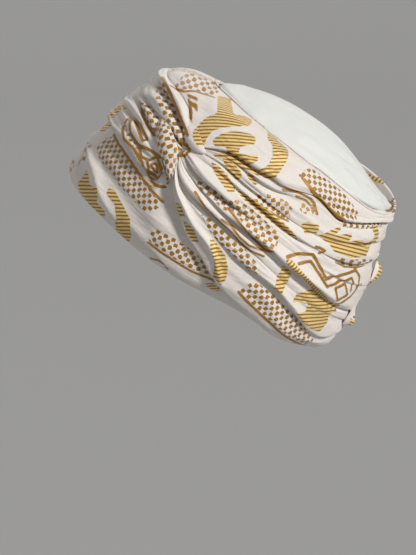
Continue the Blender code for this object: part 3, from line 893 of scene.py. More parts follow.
def grid_object(
    name: str, points: Array, ring: bool, fields: dict[str, Array], inward: bool = False
) -> bpy.types.Object:
    """A mesh object from a grid of points, rows by columns.

    Quads join neighbouring rows and columns. A ring joins its last column to its first, and a last row
    that is a single point closes with a fan.

    Args:
        name: the piece's name.
        points: millimetres, rows by columns by three.
        ring: whether the columns close.
        fields: attributes on the grid, one value or three for each point.
        inward: whether to turn the faces round.

    Returns:
        The object, at the origin.
    """
    rows, columns = points.shape[:2]
    pole = ring and bool(np.ptp(points[-1], axis=0).max() < POLE_SIZE)
    full = rows - 1 if pole else rows
    index = np.arange(full * columns).reshape(full, columns)
    beside = np.roll(index, -1, axis=1) if ring else index[:, 1:]
    first = index if ring else index[:, :-1]
    faces = np.stack([first[:-1], beside[:-1], beside[1:], first[1:]], axis=-1).reshape(-1, 4)
    flat = points[:full].reshape(-1, 3)
    a, b, c, d = (flat[faces[:, k]] for k in range(4))
    normals = np.cross(c - a, d - b)
    outward = float(np.einsum("ij,ij->", normals, (a + c) * 0.5 - flat.mean(axis=0))) > 0.0
    if outward == inward:
        faces = faces[:, ::-1]
    face_list = faces.tolist()
    if pole:
        flat = np.concatenate([flat, points[-1, :1]])
        fan = np.stack([index[-1], np.roll(index[-1], -1), np.full(columns, full * columns)], axis=-1)
        face_list += (fan if outward != inward else fan[:, ::-1]).tolist()
    mesh = bpy.data.meshes.new(name)
    mesh.from_pydata((flat * MM).tolist(), [], face_list)
    for field_name, values in fields.items():
        wide = values.ndim == 3
        kept = values[:full].reshape(-1, values.shape[-1]) if wide else values[:full].reshape(-1)
        if pole:
            kept = np.concatenate([kept, values[-1, :1]])
        made = mesh.attributes.new(field_name, "FLOAT_VECTOR" if wide else "FLOAT", "POINT")
        made.data.foreach_set("vector" if wide else "value", kept.astype(np.float32).ravel())
    mesh.shade_smooth()
    made_object = bpy.data.objects.new(name, mesh)
    bpy.context.scene.collection.objects.link(made_object)
    return made_object


def thread_field(turn: Array, rise: Array) -> Array:
    """Coordinates of the weave's threads in millimetres: round each side of the head and up it."""
    return np.stack([mirrored(turn) * FORMER.per_degree, rise * FORMER.height, np.zeros(turn.shape)], axis=-1)


def cloth_object(
    name: str, points: Array, turn: Array, rise: Array, ring: bool = False,
    own: dict[str, Array] | None = None,
) -> bpy.types.Object:
    """A patterned cloth on the former.

    Args:
        name: the piece's name.
        points: its points, rows by columns by three.
        turn: their turns.
        rise: their rises.
        ring: whether the columns close.
        own: fields that take the place of those of the drawn motifs.

    Returns:
        The object, with the motifs and the threads as attributes.
    """
    fields = {**woven(turn, rise), **(own or {}), "threads": thread_field(turn, rise)}
    return grid_object(name, points, ring, fields)


def all_round(start: float, columns: int) -> Array:
    """Turns once round the head, without the closing one."""
    return np.linspace(start, start + 360.0, columns, endpoint=False)


def thickened(piece: bpy.types.Object, thickness: float) -> None:
    """Gives a cloth its thickness, inwards, with closed edges.

    Args:
        piece: the cloth.
        thickness: in millimetres.
    """
    solid = piece.modifiers.new("cloth_thickness", "SOLIDIFY")
    solid.thickness = thickness * MM
    solid.offset = -1.0
    solid.use_rim = True
    solid.use_even_offset = False


# Shaders


class Socket:
    """A shader socket whose arithmetic adds Math nodes."""

    def __init__(self, shader: "Shader", link: bpy.types.NodeSocket) -> None:
        """Keeps the socket and the shader that it belongs to."""
        self.shader = shader
        self.link = link

    def _math(self, operation: str, *values: "Socket | float") -> "Socket":
        """One Math node on sockets or numbers."""
        return self.shader.node("ShaderNodeMath", {"operation": operation}, dict(enumerate(values)))

    def __add__(self, other: "Socket | float") -> "Socket":
        """The sum."""
        return self._math("ADD", self, other)

    def __sub__(self, other: "Socket | float") -> "Socket":
        """The difference."""
        return self._math("SUBTRACT", self, other)

    def __rsub__(self, other: float) -> "Socket":
        """The difference, the other way round."""
        return self._math("SUBTRACT", other, self)

    def __mul__(self, other: "Socket | float") -> "Socket":
        """The product."""
        return self._math("MULTIPLY", self, other)

    def sine(self) -> "Socket":
        """The sine."""
        return self._math("SINE", self)

    def most(self, other: "Socket | float") -> "Socket":
        """The greater of two."""
        return self._math("MAXIMUM", self, other)

    def step(self, lo: float, hi: float) -> "Socket":
        """0 below lo, 1 above hi and a smooth turn between."""
        sockets = {"Value": self, "From Min": lo, "From Max": hi}
        return self.shader.node("ShaderNodeMapRange", {"interpolation_type": "SMOOTHSTEP"}, sockets)


class Shader:
    """A material's node tree."""

    def __init__(self, name: str) -> None:
        """Makes an empty material with an output and a main shader.

        Args:
            name: the material's name.
        """
        self.material = bpy.data.materials.new(name)
        self.material.use_nodes = True
        self.tree = self.material.node_tree
        self.surface = self.tree.nodes["Principled BSDF"]

    def node(
        self, kind: str, settings: dict | None = None, sockets: dict | None = None, output: str | int = 0
    ) -> Socket:
        """Adds a node.

        Args:
            kind: the node's type.
            settings: its properties, set first.
            sockets: values or links by socket name or number.
            output: which output to hand back.

        Returns:
            The output socket.
        """
        made = self.tree.nodes.new(kind)
        for key, value in (settings or {}).items():
            setattr(made, key, value)
        for key, value in (sockets or {}).items():
            if isinstance(value, Socket):
                self.tree.links.new(value.link, made.inputs[key])
            else:
                made.inputs[key].default_value = value
        return Socket(self, made.outputs[output])

    def attribute(self, name: str, output: str = "Fac") -> Socket:
        """Reads a mesh attribute."""
        return self.node("ShaderNodeAttribute", {"attribute_name": name}, output=output)

    def split(self, vector: Socket) -> tuple[Socket, Socket]:
        """The first two parts of a vector."""
        first = self.node("ShaderNodeSeparateXYZ", sockets={"Vector": vector}, output="X")
        return first, Socket(self, first.link.node.outputs["Y"])

    def noise(self, vector: Socket, scale: float, detail: float = 2.0, roughness: float = 0.5) -> Socket:
        """Noise from 0 to 1."""
        sockets = {"Vector": vector, "Scale": scale, "Detail": detail, "Roughness": roughness}
        return self.node("ShaderNodeTexNoise", {}, sockets)

    def mix(self, factor: Socket | float, first: Socket | tuple, second: Socket | tuple) -> Socket:
        """Mixes two colours.

        Args:
            factor: 0 for the first, 1 for the second.
            first: a colour.
            second: a colour.

        Returns:
            The mixed colour.
        """
        made = self.tree.nodes.new("ShaderNodeMix")
        made.data_type = "RGBA"
        for key, value in ((0, factor), (6, first), (7, second)):
            if isinstance(value, Socket):
                self.tree.links.new(value.link, made.inputs[key])
            else:
                made.inputs[key].default_value = value
        return Socket(self, made.outputs[2])

    def feed(self, name: str, value: Socket | float | tuple) -> None:
        """Links or sets an input of the main shader.

        Args:
            name: the input's name.
            value: a socket to link, or a value to set.
        """
        if isinstance(value, Socket):
            self.tree.links.new(value.link, self.surface.inputs[name])
        else:
            self.surface.inputs[name].default_value = value

    def wrinkled(self, threads: Socket, size: tuple[float, float, float]) -> Socket:
        """Noise stretched along the cloth, for soft wrinkles."""
        stretched = self.node("ShaderNodeMapping", {}, {"Vector": threads, "Scale": size})
        return self.noise(stretched, 1.0, 2.0, 0.5)

    def bumped(self, wrinkles: Socket, depth: float, height: Socket, distance: float) -> None:
        """Feeds two bumps to the main shader's normal: wrinkles, and the weave on them.

        Args:
            wrinkles: heights of the wrinkles.
            depth: depth of the wrinkles in metres.
            height: heights of the weave.
            distance: depth of the weave in metres.
        """
        coarse = {"Height": wrinkles, "Distance": depth, "Strength": 1.0}
        below = self.node("ShaderNodeBump", {}, coarse, "Normal")
        fine = {"Height": height, "Distance": distance, "Normal": below}
        self.feed("Normal", self.node("ShaderNodeBump", {}, fine, "Normal"))

    def weave(self, threads: Socket, spacing: float) -> Socket:
        """The height of crossed threads: the product of a sine each way."""
        along_thread, across_thread = self.split(threads)
        return (along_thread * (math.pi / spacing)).sine() * (across_thread * (math.pi / spacing)).sine()

    def soft(self, sheen: float, sheen_roughness: float, specular: float) -> None:
        """Sets the soft gleam of cloth.

        Args:
            sheen: its weight.
            sheen_roughness: how wide it spreads.
            specular: level of the plain gloss.
        """
        self.feed("Sheen Weight", sheen)
        self.feed("Sheen Roughness", sheen_roughness)
        self.feed("Specular IOR Level", specular)


def colour(red: float, green: float, blue: float) -> tuple[float, float, float, float]:
    """A linear colour from screen values of 0 to 255."""
    parts = [value / 255.0 for value in (red, green, blue)]
    return tuple([p / 12.92 if p < 0.04045 else ((p + 0.055) / 1.055) ** 2.4 for p in parts] + [1.0])


@dataclass(frozen=True)
class PlainCotton:
    """Smooth cool white cotton of the crown."""

    name: str = "plain_cotton"
    base: tuple = colour(238, 239, 235)
    shade: tuple = colour(226, 229, 226)
    thread: float = 0.45
    cloud_scale: float = 22.0
    fibre_scale: float = 260.0
    roughness: float = 0.62
    roughness_spread: float = 0.16
    wrinkle_size: tuple[float, float, float] = (0.035, 0.05, 0.05)
    wrinkle_depth: float = 0.004
    weave_height: float = 0.3
    weave_depth: float = 0.00012
    # sheen weight, sheen roughness and specular level
    gleam: tuple[float, float, float] = (0.25, 0.5, 0.35)

    def material(self) -> bpy.types.Material:
        """Makes the material: a fine weave in bump, and a slow change of tint.

        Returns:
            The material.
        """
        shader = Shader(self.name)
        threads = shader.attribute("threads", "Vector")
        weave = shader.weave(threads, self.thread)
        place = shader.node("ShaderNodeTexCoord", output="Object")
        shader.feed("Base Color", shader.mix(shader.noise(place, self.cloud_scale), self.shade, self.base))
        fibre = shader.noise(place, self.fibre_scale, 3.0)
        shader.feed("Roughness", fibre * self.roughness_spread + self.roughness)
        shader.soft(*self.gleam)
        wrinkles = shader.wrinkled(threads, self.wrinkle_size)
        shader.bumped(wrinkles, self.wrinkle_depth, weave * self.weave_height + fibre, self.weave_depth)
        return shader.material


@dataclass(frozen=True)
class WovenCotton:
    """White cotton with raised gold motifs: dots in a checker, level stripes and solid lines."""

    name: str = "woven_cotton"
    cloth: tuple = colour(243, 238, 231)
    cloth_shade: tuple = colour(230, 222, 215)
    gold: tuple = colour(216, 162, 66)
    # dark gold: random mottling of the gold threads, and painted shade on the bars of stripes
    gold_dark: tuple = colour(122, 80, 28)
    # painted highlight: the light gold that fills the gaps between the bars of stripes, for the lit side of
    # raised stitched rows
    gold_highlight: tuple = colour(248, 212, 112)
    dot: float = 3.2
    stripe: float = 2.7
    thread: float = 0.5
    cloud_scale: float = 0.55
    grain_scale: float = 2.4
    wobble: float = 1.7
    bar_wobble: float = 0.6
    edge_wobble: float = 0.35
    line_fray: float = 1.3
    # where each field passes from cloth to gold: product of sines, sine, and distances in millimetres
    dot_edge: tuple[float, float] = (-0.02, 0.22)
    bar_edge: tuple[float, float] = (0.05, 0.6)
    patch_edge: tuple[float, float] = (-0.25, 0.25)
    stripe_edge: tuple[float, float] = (-0.3, 0.3)
    line_edge: tuple[float, float] = (-0.2, 0.15)
    tone_edge: tuple[float, float] = (0.42, 0.6)
    # share of dark gold laid on the bars of stripes: painted shade
    bar_shade: float = 0.3
    ground_gilding: float = 0.8
    metallic: float = 0.25
    roughness: float = 0.78
    gilded_smoothing: float = 0.34
    wrinkle_size: tuple[float, float, float] = (0.035, 0.15, 1.0)
    wrinkle_depth: float = 0.0016
    relief: float = 0.00028
    weave_relief: float = 0.12
    gold_relief: float = 1.2
    stripe_relief: float = 0.3
    grain_relief: float = 0.25
    # sheen weight, sheen roughness and specular level
    gleam: tuple[float, float, float] = (0.2, 0.45, 0.4)

    def material(self) -> bpy.types.Material:
        """Makes the material.

        Dots are where the product of two sines is high, stripes where one sine is high, and each is kept
        to its own motifs by their distances. Within stripes the gold between the bars is made lighter, a
        painted highlight, and the bars darker, a painted shade, for the light and shade of raised stitched
        rows. Gold threads are raised and a little metallic.

        Returns:
            The material.
        """
        shader = Shader(self.name)
        threads = shader.attribute("threads", "Vector")
        uneven = shader.noise(threads, self.cloud_scale)
        grain = shader.noise(threads, self.grain_scale)
        x, y = shader.split(shader.attribute("motif", "Vector"))
        wobble = (uneven - 0.5) * self.wobble
        per_dot = math.pi / self.dot
        dots = ((x * per_dot + wobble).sine() * (y * per_dot + wobble).sine()).step(*self.dot_edge)
        dots = dots * shader.attribute(Weave.CHECKER.value).step(*self.patch_edge)
        striped_patch = shader.attribute(Weave.STRIPED.value) + wobble * self.edge_wobble
        inside_stripes = striped_patch.step(*self.stripe_edge)
        bars = (y * (2.0 * math.pi / self.stripe) + wobble * self.bar_wobble).sine()
        bars_dark = bars.step(*self.bar_edge) * inside_stripes
        frayed = shader.attribute(Weave.SOLID.value) + (grain - 0.5) * self.line_fray
        body = dots.most(frayed.step(*self.line_edge)).most(bars_dark)
        gold_tone = shader.mix(grain.step(*self.tone_edge), self.gold_dark, self.gold)
        # painted highlight: light gold between the bars of stripes
        gold_tone = shader.mix(inside_stripes * (1.0 - bars_dark), gold_tone, self.gold_highlight)
        # painted shade: the bars of stripes darkened with dark gold
        gold_tone = shader.mix(bars_dark * self.bar_shade, gold_tone, self.gold_dark)
        cloth_tone = shader.mix(uneven, self.cloth_shade, self.cloth)
        gilded = body.most(inside_stripes * self.ground_gilding)
        shader.feed("Base Color", shader.mix(gilded, cloth_tone, gold_tone))
        shader.feed("Metallic", gilded * self.metallic)
        shader.feed("Roughness", self.roughness - gilded * self.gilded_smoothing)
        shader.soft(*self.gleam)
        height = shader.weave(threads, self.thread) * self.weave_relief + body * self.gold_relief
        height = height + inside_stripes * self.stripe_relief + grain * self.grain_relief
        shader.bumped(shader.wrinkled(threads, self.wrinkle_size), self.wrinkle_depth, height, self.relief)
        return shader.material


# The pieces


def finished(
    piece: bpy.types.Object, node: str, material: bpy.types.Material, thickness: float,
) -> None:
    """Args:
        piece: the cloth.
        node: the CAD node that it stands for.
        material: its finish.
        thickness: in millimetres.
    """
    piece.data.materials.append(material)
    thickened(piece, thickness)
    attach(piece, "root")
    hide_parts(node)
    LOG.info("%s: %d points", piece.name, len(piece.data.vertices))


@dataclass
class Crown:
    """The plain crown: a soft dome whose edge lies inside the upper wrap."""

    rise: float = 22.0
    shift: float = 3.0
    dent: float = 5.5
    dent_turn: float = 112.0
    dent_spread: float = 50.0
    sink: float = 0.085
    sink_turn: float = 122.0
    sink_spread: float = 42.0
    # the skirt inside the wrap: its lowest rise, and how it swells above the wrap's tucked edge
    skirt_from: float = 0.78
    level: float = -4.95
    swell: float = 0.6
    swell_from: float = 0.09
    swell_over: float = 0.06
    # the puff past the wrap's upper edge, which carries on over the dome and ends before the pole
    puff: float = 3.0
    puff_from: float = 0.004
    puff_to: float = 0.03
    carry: float = 0.035
    pole: float = 0.8
    # share squared times (1 - share) is highest at 4/27, which this brings to 1
    bowl: float = 27.0 / 4.0
    spacing: float = 1.25
    upright_thread: float = 0.3
    columns: int = 180
    skirt_rows: int = 23
    rings: int = 56
    thickness: float = 0.7
    flat: tuple[float, float] = (0.235, 0.215)
    flat_area: float = 0.040
    # soft creases: turn, share from the pole, height, length in degrees, width as a share
    creases: Places = (
        (62.0, 0.93, 1.1, 7.0, 0.030),
        (70.0, 0.97, -1.2, 8.0, 0.028),
        (78.0, 0.90, 0.9, 7.0, 0.035),
        (55.0, 0.82, -0.8, 12.0, 0.050),
        (-38.0, 0.88, 0.7, 16.0, 0.060),
        (-10.0, 0.86, -0.7, 18.0, 0.050),
        (10.0, 0.72, 0.5, 22.0, 0.060),
        (40.0, 0.62, -0.7, 26.0, 0.070),
        (150.0, 0.80, 0.9, 20.0, 0.060),
        (200.0, 0.75, -0.9, 20.0, 0.070),
        (250.0, 0.85, 0.8, 20.0, 0.060),
    )

    def build(self, cotton: bpy.types.Material, upper: "UpperWrap") -> None:
        """Makes the crown.

        A skirt of rings lies inside the wrap. Above it each ring is a smaller copy of the last, raised by
        a parabola of its share and lowered in the dent behind.

        Args:
            cotton: the plain finish.
            upper: the wrap that the skirt lies inside.
        """
        turn = all_round(FRONT, self.columns)
        top = 1.0 - self.sink * bump(turn, self.sink_turn, self.sink_spread)
        rises = np.minimum(np.linspace(self.skirt_from, 1.0, self.skirt_rows)[:, None], top)
        tucked = upper.lip(turn) + self.swell_from
        edge = upper.edge(turn)
        puffed = self.puff * blend(rises, edge + self.puff_from, edge + self.puff_to)
        out = self.level + self.swell * blend(rises, tucked, tucked + self.swell_over) + puffed
        skirt = FORMER.skin(turn[None, :], rises, out)
        ring = skirt[-1]
        middle = ring.mean(axis=0)
        axis = FORMER.leaned(np.array(0.0), np.array(0.0), np.array(1.0))
        back = FORMER.leaned(np.array(1.0), np.array(0.0), np.array(0.0))
        share = 1.0 - (np.linspace(0.0, 1.0, self.rings)[1:, None, None]) ** self.spacing
        climb = 1.0 - share**2
        bowl = self.bowl * share**2 * (1.0 - share)
        hollow = self.dent * bowl * bump(turn, self.dent_turn, self.dent_spread)[None, :, None]
        lifted = blend(1.0 - share, 0.0, self.carry) * blend(share, 0.0, self.pole)
        hollow = hollow - (self.puff - puffed[-1])[None, :, None] * lifted
        raised = self.rise * climb - hollow
        for at, place, height, length, width in self.creases:
            ridge = np.exp(-(((share - place) / width) ** 2)) * bump(turn, at, length)[None, :, None]
            raised = raised + height * ridge
        dome = middle + self.shift * climb * back + (ring - middle)[None] * share + raised * axis
        dome[-1] = dome[-1].mean(axis=0)
        points = np.concatenate([skirt, dome])
        threads = points * (1.0, 1.0, self.upright_thread)
        piece = grid_object("crown_dome", points, True, {"threads": threads})
        finished(piece, "crown_cap", cotton, self.thickness)


@dataclass
class BrowWrap:
    """The band round the brow and the nape."""

    columns: int = 330
    rows: int = 44
    thickness: float = 0.7
    flat: tuple[float, float] = (0.075, 0.68)
    # distance out under the folds, and millimetres below their hem and above the rim where it is full
    level: float = -3.6
    shows: float = 24.0
    above_rim: tuple[float, float] = (-18.0, 9.0)
    covered_share: float = 0.3
    span: tuple[float, float] = (0.02, 0.49)
    crumple: Crumple = Crumple(5, 260, 0.6, 8.0, 0.022)
    crumple_from: tuple[float, float] = (0.02, 0.06)
    # the rolled rim from its inner edge: rise and distance out. Places below the rim drop a little more.
    rim: Places = (
        (0.075, -2.6), (0.045, -2.5), (0.020, -2.3), (0.004, -1.9), (-0.002, -1.2), (0.000, -0.5),
        (0.008, 0.0),
    )
    rim_drop: float = 0.3
    ridges: tuple[Ridge, ...] = (
        Ridge(((-92, 0.285, 1.0), (-80, 0.240, 2.2), (-70, 0.200, 3.0), (-60, 0.165, 3.2), (-50, 0.112, 3.0),
               (-40, 0.070, 2.2), (-32, 0.030, 0.8)), 2.6),
        Ridge(((-84, 0.140, 0.8), (-74, 0.110, 1.4), (-64, 0.060, 1.2), (-56, 0.020, 0.6)), 3.2),
        Ridge(((-30, 0.195, 0.6), (-20, 0.190, 1.6), (-8, 0.185, 1.0)), 3.5),
        Ridge(((-86, 0.330, 0.8), (-70, 0.300, 1.2), (-52, 0.262, 0.8), (-40, 0.235, 0.4)), 4.0),
        Ridge(((-60, 0.235, -0.8), (-45, 0.190, -1.4), (-30, 0.140, -1.0), (-20, 0.110, -0.5)), 4.0),
        Ridge(((-30, 0.100, 0.4), (-15, 0.050, 1.0), (0, 0.030, 0.8)), 3.0),
        Ridge(((200, 0.260, 1.0), (225, 0.180, 2.4), (250, 0.220, 2.0), (268, 0.280, 1.0)), 4.0),
        Ridge(((205, 0.120, 1.0), (230, 0.080, 1.8), (255, 0.110, 1.6)), 4.0),
    )

    def out(self, turn: Array, rise: Array, hem: Array) -> Array:
        """Distance out: close under the feet of the folds, and full below their hem.

        Args:
            turn: turns in degrees.
            rise: rises as shares.
            hem: rises of the folds' lowest edge.

        Returns:
            Distance out in millimetres.
        """
        shown = blend((hem - rise) * FORMER.height, 0.0, self.shows)
        shown = shown * blend(rise * FORMER.height, *self.above_rim)
        out = self.level * (1.0 - shown)
        for ridge in self.ridges:
            at = near(turn, 0.5 * (ridge.places[0][0] + ridge.places[-1][0]))
            out = out + (self.covered_share + (1.0 - self.covered_share) * shown) * ridge.out(at, rise)
        return out

    def build(self, cotton: bpy.types.Material, folds: "Pleats") -> None:
        """Makes the band: up its outside from a rolled rim, whose inner turn shows from below.

        Args:
            cotton: the patterned finish.
            folds: the cloth that covers its upper part.
        """
        turn = all_round(FRONT, self.columns)[None, :]
        rim = np.array(self.rim)
        upwards = np.linspace(*self.span, self.rows)
        rise = np.concatenate([rim[:, 0], upwards])[:, None] + 0.0 * turn
        extra = np.concatenate([rim[:, 1], np.zeros(self.rows)])[:, None]
        wide = np.broadcast_to(turn, rise.shape)
        out = self.out(wide, rise, folds.hem_at(wide)) + extra
        out = out + self.crumple.out(wide, rise) * blend(rise, *self.crumple_from)
        points = FORMER.skin(wide, np.maximum(rise, 0.0), out)
        points[rise < 0] += FORMER.leaned(np.array(0.0), np.array(0.0), np.array(-self.rim_drop))
        piece = cloth_object("brow_band", points, wide, rise, True)
        finished(piece, "brow_wrap", cotton, self.thickness)


@dataclass
class UpperWrap:
    """The wide flat fold above the knot, which runs round the crown and stands up behind."""

    start: float = -95.0
    columns: int = 330
    thickness: float = 0.7
    flat: tuple[float, float] = (0.060, 0.62)
    section: Section = Section(tuck=3.2, depth=1.3)
    crumple: Crumple = Crumple(11, 240, 0.6, 9.0, 0.09)
    # the rolled upper edge, from the inside: rise above the edge and distance out
    roll: Places = (
        (-0.075, -2.3), (-0.045, -2.2), (-0.018, -2.0), (-0.002, -1.5), (0.004, -0.8), (0.0, -0.2),
        (-0.012, 0.1),
    )
    roll_end: float = 0.02
    # shares of the way from lip to edge where it stands out, lies low, and where its ridges begin
    stand_from: tuple[float, float] = (0.2, 0.95)
    sink_from: tuple[float, float] = (0.80, 1.0)
    ridges_from: tuple[float, float] = (0.02, 0.12)
    stand: float = 6.5
    stand_turn: float = 130.0
    stand_spread: float = 45.0
    sink: float = 1.4
    edge_places: Places = (
        (-95, 0.992), (0, 0.992), (12, 0.975), (22, 0.948), (35, 0.902), (47, 0.868), (60, 0.862),
        (75, 0.882),
        (95, 0.930), (115, 0.965), (140, 0.985), (175, 0.992), (265, 0.992),
    )
    lip_fold: Fold = Fold((
        (-95, 0.768, 2.6, 1.0), (-80, 0.753, 2.8, 1.0), (-70, 0.743, 3.0, 1.0), (-60, 0.730, 3.2, 1.0),
        (-50, 0.700, 3.2, 1.0), (-45, 0.674, 3.0, 1.0), (-40, 0.650, 2.6, 1.0), (-36, 0.635, 1.8, 0.8),
        (-31, 0.615, 1.0, 0.4), (-27, 0.640, 1.2, 0.5), (-23, 0.668, 2.4, 1.0), (-18, 0.695, 3.4, 1.0),
        (-12, 0.702, 4.0, 1.0), (-5, 0.703, 4.2, 1.0), (1, 0.714, 3.6, 1.0), (6, 0.710, 2.6, 0.7),
        (11, 0.728, 1.0, 0.1), (16, 0.752, 0.5, 0.0), (22, 0.764, 0.5, 0.0), (28, 0.742, 0.8, 0.1),
        (35, 0.716, 2.0, 0.6), (41, 0.728, 3.0, 1.0), (48, 0.755, 3.4, 1.0), (56, 0.785, 3.2, 1.0),
        (65, 0.806, 2.8, 1.0), (78, 0.815, 2.4, 0.9), (95, 0.820, 2.4, 0.9), (115, 0.820, 2.2, 0.9),
        (140, 0.810, 2.0, 0.8), (175, 0.790, 2.0, 0.8), (220, 0.765, 2.2, 0.9), (265, 0.768, 2.6, 1.0),
    ), crest=0.30)
    panel_fold: Fold = Fold((
        (-95, 0.830, 0.8, 0.0), (-75, 0.805, 0.8, 0.3), (-60, 0.793, 0.8, 0.5), (-50, 0.768, 0.8, 0.5),
        (-45, 0.748, 0.8, 0.5), (-40, 0.708, 0.6, 0.4), (-35, 0.666, 0.5, 0.3), (-30, 0.645, 0.4, 0.2),
        (-26, 0.672, 0.3, 0.0), (-20, 0.735, 0.3, 0.0), (-10, 0.760, 0.5, 0.0), (5, 0.780, 0.5, 0.0),
        (20, 0.800, 0.5, 0.0), (35, 0.770, 0.8, 0.0), (48, 0.795, 0.8, 0.0), (60, 0.820, 0.6, 0.0),
        (90, 0.855, 0.6, 0.0), (140, 0.870, 0.6, 0.0), (220, 0.850, 0.6, 0.0), (265, 0.830, 0.8, 0.0),
    ), crest=0.5)
    ridges: tuple[Ridge, ...] = (
        Ridge(((-80, 0.785, 0.5), (-62, 0.768, 1.6), (-50, 0.738, 2.0), (-42, 0.690, 1.8),
               (-34, 0.645, 0.8)), 2.8),
        Ridge(((-6, 0.745, 0.4), (6, 0.770, 1.0), (18, 0.800, 1.2), (30, 0.800, 1.0), (40, 0.790, 0.4)), 4.5),
        Ridge(((-70, 0.900, -0.6), (-50, 0.850, -1.2), (-38, 0.780, -0.8)), 5.0),
        Ridge(((-20, 0.860, -0.5), (0, 0.820, -1.0), (20, 0.880, -0.9), (40, 0.830, -0.4)), 6.0),
    )

    def lip(self, turn: Array) -> Array:
        """Rise of the lip at any turn."""
        return self.lip_fold.at(near(turn, 85.0))[0]

    def edge(self, turn: Array) -> Array:
        """Rise of the upper edge at any turn."""
        return along(near(turn, 85.0), self.edge_places)

    def build(self, cotton: bpy.types.Material) -> None:
        """Makes the fold: over the rolled upper edge, down the outside, and back up under its lip.

        Args:
            cotton: the patterned finish.
        """
        turn = all_round(self.start, self.columns)
        edge = along(turn, self.edge_places)
        standing = self.stand * bump(turn, self.stand_turn, self.stand_spread)
        inner = [(edge + up, away) for up, away in self.roll]
        folds = (self.panel_fold, self.lip_fold)
        rise, out, across = self.section.rows(turn, edge - self.roll_end, inner, folds)
        wide = np.broadcast_to(turn, rise.shape)
        lip = self.lip_fold.at(turn)[0]
        share = np.clip((rise - lip) / (edge - lip), 0.0, 1.0)
        lying = self.sink * (1.0 - bump(turn, self.stand_turn, self.stand_spread))
        out = out + standing * blend(share, *self.stand_from) - lying * blend(share, *self.sink_from)
        for ridge in self.ridges:
            out = out + ridge.out(wide, rise) * blend(share, *self.ridges_from)
        out = out + self.crumple.out(wide, across)
        points = FORMER.skin(wide, np.clip(rise, 0.0, 1.0), out)
        piece = cloth_object("upper_fold", points, wide, rise, True)
        finished(piece, "upper_wrap", cotton, self.thickness)


